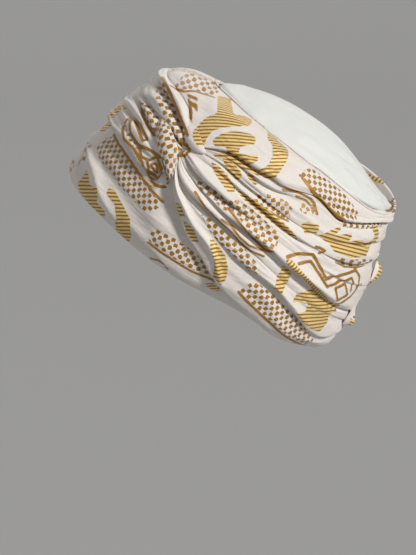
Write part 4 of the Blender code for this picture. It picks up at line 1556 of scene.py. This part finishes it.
@dataclass
class Pleats:
    """The pleated cloth: the drape that fans out from the knot, and the gathers in front of it."""

    thickness: float = 0.6
    drape_columns: int = 300
    gather_columns: int = 170
    knot_turn: float = -33.0
    far_turn: float = 198.0
    seam_gap: float = 0.19
    drape_spacing: float = 1.3
    gather_spacing: float = 1.2
    drape_flat: tuple[float, float] = (0.150, 0.46)
    gather_flat: tuple[float, float] = (0.088, 0.24)
    drape_crumple: Crumple = Crumple(21, 420, 0.9, 8.0, 0.09)
    gather_crumple: Crumple = Crumple(31, 260, 0.8, 8.0, 0.10)
    # both cloths start under the lip of the upper wrap: rise above the lip and distance out
    top: Places = ((0.075, -2.3), (0.040, -2.2))
    # degrees from the side over which the folds grow calmer and sink, towards the front and the back
    calmer: float = 0.45
    calm_turns: tuple[float, float] = (50.0, 82.0)
    sink: float = 1.0
    sink_turns: tuple[float, float] = (45.0, 80.0)
    # the bed under the knot: half width in degrees, share of the folds left in it, and depth
    bed_spread: float = 3.0
    bed_share: float = 0.25
    bed_depth: float = 0.8
    drape_folds: tuple[Fold, ...] = (
        Fold((  # pinched fold under the upper wrap
            (-33, 0.607, 0.2, 0.1), (-25, 0.640, 0.6, 0.2), (-18, 0.664, 0.8, 0.2), (-12, 0.668, 1.2, 0.5),
            (-6, 0.664, 2.2, 1.0), (0, 0.662, 2.4, 1.0), (6, 0.672, 1.6, 0.7), (12, 0.695, 0.6, 0.1),
            (22, 0.730, 0.3, 0.0), (35, 0.695, 0.3, 0.0), (48, 0.725, 0.5, 0.1), (60, 0.760, 0.5, 0.1),
            (95, 0.790, 0.5, 0.1), (130, 0.785, 0.5, 0.1), (165, 0.770, 0.5, 0.1),
            (198, 0.760, 0.5, 0.1)), 0.28),
        Fold((  # temple fold
            (-33, 0.600, 0.3, 0.0), (-25, 0.615, 0.8, 0.1), (-18, 0.622, 1.2, 0.3), (-12, 0.613, 2.2, 0.9),
            (-6, 0.604, 3.2, 1.0), (0, 0.597, 3.2, 1.0), (5, 0.589, 2.4, 0.9), (10, 0.584, 1.6, 0.5),
            (18, 0.578, 1.2, 0.2), (28, 0.582, 1.0, 0.2), (38, 0.602, 1.2, 0.3), (48, 0.632, 1.6, 0.6),
            (60, 0.668, 2.2, 0.9), (75, 0.692, 2.4, 1.0), (95, 0.700, 2.4, 1.0), (130, 0.695, 2.0, 0.8),
            (165, 0.685, 1.6, 0.7), (198, 0.680, 1.2, 0.6)), 0.22),
        Fold((  # gold band
            (-33, 0.585, 0.3, 0.0), (-20, 0.580, 0.6, 0.1), (-8, 0.566, 1.4, 0.4), (0, 0.551, 2.6, 1.0),
            (8, 0.536, 3.0, 1.0), (15, 0.524, 2.6, 1.0), (21, 0.516, 1.8, 0.7), (30, 0.516, 1.2, 0.3),
            (40, 0.512, 1.6, 0.6), (48, 0.520, 2.4, 1.0), (56, 0.534, 2.6, 1.0), (66, 0.562, 2.6, 1.0),
            (75, 0.575, 2.4, 1.0), (95, 0.580, 2.2, 1.0), (130, 0.580, 1.8, 0.8),
            (198, 0.595, 1.2, 0.6)), 0.3),
        Fold((  # white pleat
            (-33, 0.548, 0.6, 0.2), (-29, 0.528, 2.4, 0.9), (-25, 0.508, 4.4, 1.0), (-20, 0.494, 5.4, 1.0),
            (-14, 0.486, 5.4, 1.0), (-8, 0.478, 4.0, 1.0), (-2, 0.476, 1.6, 0.4), (5, 0.468, 0.6, 0.0),
            (20, 0.450, 0.3, 0.0), (45, 0.430, 0.4, 0.0), (70, 0.440, 0.8, 0.2), (95, 0.450, 1.2, 0.4),
            (140, 0.480, 1.4, 0.5), (198, 0.560, 1.0, 0.4)), 0.2),
        Fold((  # wide fold
            (-33, 0.528, 0.2, 0.0), (-28, 0.494, 0.3, 0.3), (-24, 0.476, 0.4, 0.5), (-18, 0.450, 0.8, 0.8),
            (-12, 0.434, 1.6, 1.0), (-6, 0.418, 3.0, 1.0), (0, 0.407, 4.2, 1.0), (8, 0.398, 4.8, 1.0),
            (16, 0.386, 5.0, 1.0), (22, 0.366, 4.8, 1.0), (30, 0.355, 4.6, 1.0), (40, 0.338, 4.2, 1.0),
            (50, 0.310, 3.4, 1.0), (57, 0.290, 2.6, 0.8), (68, 0.284, 2.4, 0.7), (80, 0.285, 2.4, 0.8),
            (95, 0.290, 2.4, 0.8), (130, 0.350, 2.4, 0.8), (165, 0.445, 1.8, 0.7),
            (198, 0.515, 1.2, 0.6)), 0.22),
        Fold((  # narrow bright ridge from the knot
            (-33, 0.515, 0.6, 0.3), (-30, 0.470, 2.2, 0.9), (-27, 0.436, 3.4, 1.0), (-24, 0.416, 4.0, 1.0),
            (-20, 0.400, 4.0, 1.0), (-13, 0.384, 3.8, 1.0), (-5, 0.368, 3.2, 1.0), (0, 0.354, 2.6, 1.0),
            (6, 0.340, 1.8, 0.6), (12, 0.325, 1.0, 0.2), (22, 0.300, 0.5, 0.0), (40, 0.260, 0.4, 0.0),
            (60, 0.235, 0.6, 0.1), (80, 0.220, 1.0, 0.4), (95, 0.220, 1.2, 0.5), (130, 0.280, 1.4, 0.5),
            (198, 0.470, 1.0, 0.4)), 0.36),
        Fold((  # ear fold, the bright strip above the low checker
            (-33, 0.505, 0.2, 0.0), (-25, 0.395, 0.2, 0.0), (-15, 0.345, 0.3, 0.0), (-7, 0.312, 0.5, 0.1),
            (0, 0.282, 0.9, 0.2), (6, 0.262, 1.8, 0.6), (15, 0.250, 2.8, 0.9), (25, 0.234, 3.2, 1.0),
            (32, 0.206, 3.2, 1.0), (40, 0.168, 3.0, 1.0), (48, 0.126, 2.6, 0.9), (56, 0.104, 1.8, 0.6),
            (64, 0.105, 1.8, 0.7), (74, 0.135, 2.2, 0.9), (95, 0.160, 2.2, 0.9), (130, 0.210, 2.0, 0.8),
            (165, 0.320, 1.6, 0.7), (198, 0.425, 1.2, 0.6)), 0.24),
        Fold((  # hem
            (-33, 0.480, 0.8, 0.6), (-29, 0.405, 1.2, 0.8), (-25, 0.348, 1.4, 1.0), (-20, 0.292, 1.5, 1.0),
            (-15, 0.240, 1.5, 1.0), (-5, 0.180, 1.5, 1.0), (5, 0.105, 1.4, 1.0), (15, 0.062, 1.4, 1.0),
            (30, 0.024, 1.4, 1.0), (45, 0.008, 1.2, 1.0), (60, 0.004, 1.2, 1.0), (75, 0.004, 1.2, 1.0),
            (95, 0.006, 1.4, 1.0), (130, 0.025, 1.4, 1.0), (165, 0.140, 1.2, 1.0),
            (198, 0.340, 1.0, 0.8)), 0.3),
    )
    drape_ridges: tuple[Ridge, ...] = (
        Ridge(((-33, 0.500, 1.2), (-29, 0.440, 3.0), (-26, 0.395, 3.4), (-22, 0.355, 3.4), (-17, 0.315, 3.2),
               (-10, 0.275, 3.0), (-5, 0.255, 2.8), (0, 0.210, 2.8), (4, 0.160, 2.4), (7, 0.115, 1.4)), 2.0),
        Ridge(((22, 0.400, 1.0), (30, 0.372, 1.4), (42, 0.348, 1.4), (50, 0.322, 0.8)), 2.2),
        Ridge(((-20, 0.560, 0.4), (-5, 0.530, 1.2), (10, 0.500, 0.8)), 3.0),
        Ridge(((8, 0.210, 0.6), (20, 0.180, 1.0), (34, 0.120, 0.8)), 3.5),
    )
    gather_folds: tuple[Fold, ...] = (
        Fold((  # dotted fold
            (-162, 0.680, 0.8, 0.2), (-140, 0.688, 1.0, 0.3), (-115, 0.688, 1.2, 0.4), (-95, 0.668, 1.6, 0.6),
            (-82, 0.642, 2.4, 0.9), (-75, 0.633, 3.0, 1.0), (-68, 0.634, 3.4, 1.0), (-60, 0.626, 3.4, 1.0),
            (-50, 0.613, 3.0, 1.0), (-44, 0.600, 2.6, 1.0), (-39, 0.588, 1.8, 0.8), (-36, 0.578, 1.0, 0.5),
            (-33, 0.570, 0.4, 0.2)), 0.4),
        Fold((  # strand fold
            (-162, 0.595, 0.8, 0.2), (-115, 0.600, 0.8, 0.2), (-92, 0.606, 1.0, 0.3), (-84, 0.600, 1.8, 0.7),
            (-76, 0.596, 2.8, 1.0), (-66, 0.584, 3.4, 1.0), (-58, 0.566, 3.4, 1.0), (-52, 0.545, 2.8, 1.0),
            (-46, 0.530, 1.6, 0.6), (-40, 0.525, 0.6, 0.2), (-33, 0.520, 0.2, 0.0)), 0.4),
        Fold((  # pale fold
            (-162, 0.515, 0.8, 0.2), (-115, 0.525, 0.8, 0.2), (-95, 0.535, 0.8, 0.2), (-86, 0.532, 2.0, 0.9),
            (-79, 0.528, 2.8, 1.0), (-70, 0.526, 2.6, 1.0), (-63, 0.518, 1.8, 0.7), (-56, 0.504, 1.2, 0.4),
            (-48, 0.486, 0.8, 0.2), (-40, 0.472, 0.4, 0.0), (-33, 0.470, 0.2, 0.0)), 0.45),
        Fold((  # nested fold
            (-162, 0.425, 0.6, 0.1), (-115, 0.445, 0.6, 0.1), (-90, 0.466, 0.6, 0.1), (-76, 0.470, 1.0, 0.3),
            (-66, 0.462, 1.4, 0.5), (-58, 0.452, 1.4, 0.5), (-48, 0.436, 1.4, 0.5), (-42, 0.430, 0.8, 0.2),
            (-33, 0.440, 0.2, 0.0)), 0.5),
        Fold((  # hem
            (-162, 0.340, 0.8, 0.7), (-140, 0.365, 0.8, 0.8), (-115, 0.390, 0.6, 0.5), (-95, 0.406, 0.5, 0.2),
            (-80, 0.408, 0.8, 0.4), (-70, 0.402, 1.2, 0.8), (-60, 0.395, 1.4, 0.9), (-50, 0.378, 1.2, 0.9),
            (-43, 0.358, 1.0, 0.9), (-38, 0.366, 0.8, 0.8), (-33, 0.410, 0.6, 0.7)), 0.35),
    )

    def hem_at(self, turn: Array) -> Array:
        """Rise of the lowest edge of the drape or the gathers.

        Args:
            turn: turns in degrees.

        Returns:
            The rises.
        """
        on_drape = near(turn, 82.0)
        drape = self.drape_folds[-1].at(on_drape)[0]
        gathers = self.gather_folds[-1].at(near(turn, -100.0))[0]
        return np.where((on_drape > self.knot_turn) & (on_drape < self.far_turn), drape, gathers)

    def calm(self, turn: Array) -> Array:
        """Share of the folds' heights: less where they wrap round the front and the back."""
        return 1.0 - self.calmer * blend(np.abs(near(turn, 0.0)), *self.calm_turns)

    def sunk(self, turn: Array) -> Array:
        """How far the folds lie below the former round the front and the back."""
        return -self.sink * blend(np.abs(near(turn, 0.0)), *self.sink_turns)

    def cloth(
        self, name: str, turn: Array, upper: UpperWrap, folds: Sequence[Fold], ridges: Sequence[Ridge],
        crumple: Crumple,
    ) -> bpy.types.Object:
        """Makes a pleated cloth.

        Args:
            name: the piece's name.
            turn: one turn for each column.
            upper: the wrap whose lip it comes out from.
            folds: its folds, from top to bottom.
            ridges: ridges added to it.
            crumple: its small wrinkles.

        Returns:
            The object.
        """
        lip = upper.lip(turn)
        top = [(lip + up, away) for up, away in self.top]
        rise, out, across = Section().rows(turn, lip, top, folds)
        wide = np.broadcast_to(turn, rise.shape)
        out = out * np.where(out > 0, self.calm(wide), 1.0)
        for ridge in ridges:
            out = out + ridge.out(wide, rise)
        out = out + crumple.out(wide, across) + self.sunk(wide)
        bed = 1.0 - bump(wide, self.knot_turn, self.bed_spread)
        held = self.bed_share + (1.0 - self.bed_share) * bed
        out = np.where(out > 0, out * held, out) - self.bed_depth * (1.0 - bed)
        return cloth_object(name, FORMER.skin(wide, np.clip(rise, 0.0, 1.0), out), wide, rise)

    def build(self, cotton: bpy.types.Material, upper: UpperWrap) -> None:
        """Makes the drape and the gathers, which start at the knot and end at the far seam.

        Args:
            cotton: the patterned finish.
            upper: the wrap that they come out from.
        """
        gap = self.seam_gap
        share = np.linspace(0.0, 1.0, self.drape_columns)
        span = self.far_turn - self.knot_turn - 2.0 * gap
        turn = self.knot_turn + gap + span * share**self.drape_spacing
        piece = self.cloth(
            "drape_folds", turn, upper, self.drape_folds, self.drape_ridges, self.drape_crumple
        )
        finished(piece, "side_drape", cotton, self.thickness)
        share = np.linspace(0.0, 1.0, self.gather_columns)
        span = 360.0 - self.far_turn + self.knot_turn - 2.0 * gap
        turn = self.knot_turn - gap - span * share**self.gather_spacing
        piece = self.cloth("gathered_folds", turn, upper, self.gather_folds, (), self.gather_crumple)
        finished(piece, "front_gathers", cotton, self.thickness)


@dataclass
class Strand:
    """A strand of cloth that crosses the knot: a strip bowed outwards, with folds along it.

    Stations give turn, rise, width as a share, and the height of its middle in millimetres.
    """

    name: str
    node: str
    stations: Places
    flat: tuple[float, float]
    dotted: bool = False
    width: float = 15.0
    thickness: float = 0.5
    foot: float = 0.9
    rows: int = 70
    columns: int = 41
    # how far round the strand turns under at each edge, and the folds along it, which wander sideways
    under: float = 112.0
    pleats: float = 2.0
    pleat_height: float = 0.5
    wander: float = 1.5
    # dotted cloth: depth of the checker in the middle and its fall to the edges, and one gold line
    checker_depth: float = 3.0
    checker_fall: float = 3.4
    line_at: float = -0.82
    line_depth: float = 1.4
    line_fall: float = 14.0
    off_line: float = -3.0
    dot_stretch: float = 1.25

    def build(self, cotton: bpy.types.Material) -> None:
        """Makes the strand.

        Its middle line runs through the stations. Across it the distance out is a half ellipse, with a
        cosine ripple for the folds along it, and both edges turn under.

        Args:
            cotton: the patterned finish.
        """
        table = np.asarray(self.stations, float)
        share = np.linspace(0.0, 1.0, self.rows)
        at = np.linspace(0.0, 1.0, len(table))
        x = smooth(share, at, table[:, 0]) * FORMER.per_degree
        y = smooth(share, at, table[:, 1]) * FORMER.height
        wide = smooth(share, at, table[:, 2])[:, None]
        high = smooth(share, at, table[:, 3])[:, None]
        heading = np.arctan2(np.gradient(y), np.gradient(x))[:, None]
        q = np.linspace(-1.0, 1.0, self.columns)[None, :]
        angle = q * math.radians(self.under)
        lowest = math.cos(math.radians(self.under))
        across = 0.5 * self.width * wide * np.sin(angle)
        lift = (np.cos(angle) - lowest) / (1.0 - lowest)
        folded = np.cos(q * math.pi * self.pleats + self.wander * share[:, None])
        ripple = self.pleat_height * folded * lift * wide
        turn = (x[:, None] - across * np.sin(heading)) / FORMER.per_degree
        rise = (y[:, None] + across * np.cos(heading)) / FORMER.height
        points = FORMER.skin(turn, rise, self.foot + high * lift + ripple)
        own = self.dots(np.hypot(np.diff(x), np.diff(y)), q) if self.dotted else {}
        piece = cloth_object(self.name, points, turn, rise, own=own)
        if self.faces_in(piece):
            piece.data.flip_normals()
        finished(piece, self.node, cotton, self.thickness)

    def dots(self, steps: Array, q: Array) -> dict[str, Array]:
        """Fields of dotted cloth with a gold line near one edge.

        Args:
            steps: lengths of the steps along the strand.
            q: places across the strand, from -1 to 1.

        Returns:
            The fields by name, rows by columns.
        """
        length = np.concatenate([[0.0], np.cumsum(steps)])[:, None]
        inside = self.checker_depth - self.checker_fall * np.abs(q) ** 3 + 0.0 * length
        gold = np.where(q < 0, self.line_depth - np.abs(q - self.line_at) * self.line_fall, self.off_line)
        down = q * 0.5 * self.width * self.dot_stretch + 0.0 * length
        return {
            Weave.CHECKER.value: inside,
            Weave.STRIPED.value: np.full(inside.shape, -REACH),
            Weave.SOLID.value: gold + 0.0 * length,
            "motif": np.stack([length + 0.0 * q, down, np.zeros(inside.shape)], axis=-1),
        }

    def faces_in(self, piece: bpy.types.Object) -> bool:
        """Whether the middle face of the strand points towards the head."""
        return piece.data.polygons[len(piece.data.polygons) // 2].normal.y > 0.0


@dataclass
class TuckedEnd:
    """A soft end of the cloth that is tucked in behind: a lobe whose sides turn down to the folds."""

    name: str
    node: str
    turn: float
    rise: float
    pointing: float
    stand: float
    fullest: float
    flat: tuple[float, float]
    length: float = 16.0
    width: float = 17.0
    thickness: float = 0.6
    rows: int = 41
    columns: int = 41
    # how far it tapers, how it falls off along it and to its sides, and its creases
    taper: float = 0.75
    along_power: float = 0.8
    side_power: float = 2.6
    foot: float = 0.2
    crease: float = 0.7
    crease_turns: float = 2.6
    crease_wander: float = 1.4

    def build(self, cotton: bpy.types.Material) -> None:
        """Makes the end: a lobe whose distance out is a sine along it and falls to both sides, with creases.

        Args:
            cotton: the patterned finish.
        """
        u, v = np.meshgrid(np.linspace(-1.0, 1.0, self.columns), np.linspace(0.0, 1.0, self.rows))
        angle = math.radians(self.pointing)
        across = 0.5 * self.width * u * np.sqrt(1.0 - self.taper * v * v)
        down = self.length * v
        turn = self.turn + (across * math.cos(angle) + down * math.sin(angle)) / FORMER.per_degree
        rise = self.rise - (down * math.cos(angle) - across * math.sin(angle)) / FORMER.height
        hill = np.sin(np.pi * v**self.fullest) ** self.along_power * (1.0 - np.abs(u) ** self.side_power)
        crease = self.crease * np.cos(self.crease_turns * math.pi * u + self.crease_wander * v) * hill
        points = FORMER.skin(turn, rise, self.foot + self.stand * hill + crease)
        piece = cloth_object(self.name, points, turn, rise)
        middle = piece.data.polygons[len(piece.data.polygons) // 2]
        if middle.normal.x < 0.0:
            piece.data.flip_normals()
        finished(piece, self.node, cotton, self.thickness)


@dataclass(frozen=True)
class Lamp:
    """A soft far light: where it shines from, its strength, its spread in degrees and its tint."""

    name: str
    towards: tuple[float, float, float]
    strength: float
    spread: float
    tint: tuple[float, float, float]


@dataclass
class Studio:
    """The plain pale floor, which curves up all round, the soft lights and the camera."""

    floor: float = -0.6
    radius: float = 9.0
    bend: float = 2.0
    wall: float = 3.5
    middle: float = 4.0
    bend_steps: int = 16
    sides: int = 64
    tone: tuple = colour(177, 178, 179)
    roughness: float = 0.9
    air: tuple[float, float, float, float] = (1.0, 0.965, 0.965, 1.0)
    air_strength: float = 0.15
    clip: float = 50.0
    lamps: tuple[Lamp, ...] = (
        Lamp("key", (0.69, -0.58, 0.46), 2.75, 8.0, (1.0, 0.98, 0.95)),
        Lamp("fill", (-0.5, 0.1, 0.86), 0.4, 60.0, (1.0, 0.97, 0.95)),
        Lamp("far_fill", (0.0, 0.9, 0.35), 1.1, 40.0, (1.0, 0.985, 0.97)),
    )

    def sweep(self) -> None:
        """A round floor with a curved-up edge: a rounded path turned once about the upright axis."""
        angle = np.linspace(0.0, 0.5 * math.pi, self.bend_steps)
        curve = self.radius - self.bend + self.bend * np.sin(angle)
        away = np.concatenate([[self.middle], curve, [self.radius]])
        up = np.concatenate([[0.0], self.bend - self.bend * np.cos(angle), [self.wall]]) + self.floor
        around = np.linspace(0.0, 2.0 * math.pi, self.sides, endpoint=False)[None, :]
        ring = np.stack([away[:, None] * np.cos(around), away[:, None] * np.sin(around),
                         up[:, None] + 0.0 * around], axis=-1)
        middle = np.broadcast_to(np.array([0.0, 0.0, self.floor]), ring[:1].shape)
        piece = grid_object("studio_floor", np.concatenate([ring[::-1], middle]) / MM, True, {}, True)
        shader = Shader("studio_grey")
        shader.feed("Base Color", self.tone)
        shader.feed("Roughness", self.roughness)
        shader.feed("Specular IOR Level", 0.0)
        piece.data.materials.append(shader.material)

    def light(self, lamp: Lamp) -> None:
        """Adds a far light.

        Args:
            lamp: what it is like.
        """
        made = bpy.data.lights.new(lamp.name, "SUN")
        made.energy = lamp.strength
        made.angle = math.radians(lamp.spread)
        made.color = lamp.tint
        placed = bpy.data.objects.new(lamp.name, made)
        bpy.context.scene.collection.objects.link(placed)
        x, y, z = lamp.towards
        placed.rotation_euler = (math.atan2(math.hypot(x, y), z), 0.0, math.atan2(x, -y))

    def camera(self) -> None:
        """The camera at the photograph's angle."""
        lens = bpy.data.cameras.new("photo_view")
        lens.sensor_width = SENSOR
        lens.lens = SENSOR * VIEW_DISTANCE / VIEW_HEIGHT
        lens.clip_end = self.clip
        made = bpy.data.objects.new("photo_view", lens)
        bpy.context.scene.collection.objects.link(made)
        angle = math.radians(VIEW_RISE)
        made.location = (
            VIEW_TARGET[0],
            VIEW_TARGET[1] - VIEW_DISTANCE * math.cos(angle),
            VIEW_TARGET[2] + VIEW_DISTANCE * math.sin(angle),
        )
        made.rotation_euler = (math.radians(90.0 - VIEW_RISE), 0.0, 0.0)
        bpy.context.scene.camera = made

    def build(self) -> None:
        """Makes the whole studio."""
        self.sweep()
        self.camera()
        for lamp in self.lamps:
            self.light(lamp)
        world = bpy.data.worlds.new("soft_room")
        world.use_nodes = True
        background = world.node_tree.nodes["Background"]
        background.inputs["Color"].default_value = self.air
        background.inputs["Strength"].default_value = self.air_strength
        bpy.context.scene.world = world
        bpy.context.scene.view_settings.view_transform = "Standard"


# The strands of the knot: turn, rise, width as a share, and height of the middle in millimetres
TWIST_STATIONS = (
    (-51.0, 0.600, 0.24, 0.8), (-48.5, 0.592, 0.44, 2.4), (-45.0, 0.572, 0.62, 3.8),
    (-41.0, 0.540, 0.78, 4.6),
    (-37.2, 0.512, 0.80, 4.6), (-34.4, 0.480, 0.64, 4.0), (-31.6, 0.440, 0.42, 3.0),
    (-29.2, 0.405, 0.22, 1.6),
)
BAND_STATIONS = (
    (-41.0, 0.690, 0.34, 0.4), (-38.0, 0.667, 0.52, 1.4), (-35.0, 0.648, 0.64, 2.4),
    (-32.0, 0.632, 0.64, 2.9),
    (-29.5, 0.622, 0.50, 2.7), (-27.4, 0.617, 0.30, 1.9), (-25.6, 0.617, 0.14, 1.0),
)


def main() -> None:
    """Builds the studio and every piece of the wrap."""
    logging.basicConfig(level=logging.INFO, format="%(message)s")
    Studio().build()
    plain = PlainCotton().material()
    cotton = WovenCotton().material()
    upper = UpperWrap()
    pleats = Pleats()
    Crown().build(plain, upper)
    BrowWrap().build(cotton, pleats)
    upper.build(cotton)
    pleats.build(cotton, upper)
    Strand("knot_twist", "knot_loop", TWIST_STATIONS, flat=(0.0155, 0.052), dotted=True).build(cotton)
    Strand("knot_fold", "knot_band", BAND_STATIONS, flat=(0.013, 0.032)).build(cotton)
    TuckedEnd(
        "rear_upper_end", "upper_tucked_end", turn=87.0, rise=0.440, pointing=180.0, stand=5.5, fullest=1.25,
        flat=(0.02, 0.018),
    ).build(cotton)
    TuckedEnd(
        "rear_lower_end", "lower_tucked_end", turn=80.0, rise=0.320, pointing=-10.0, stand=5.5, fullest=1.9,
        flat=(0.02, 0.018),
    ).build(cotton)


if __name__ == "__main__":
    main()
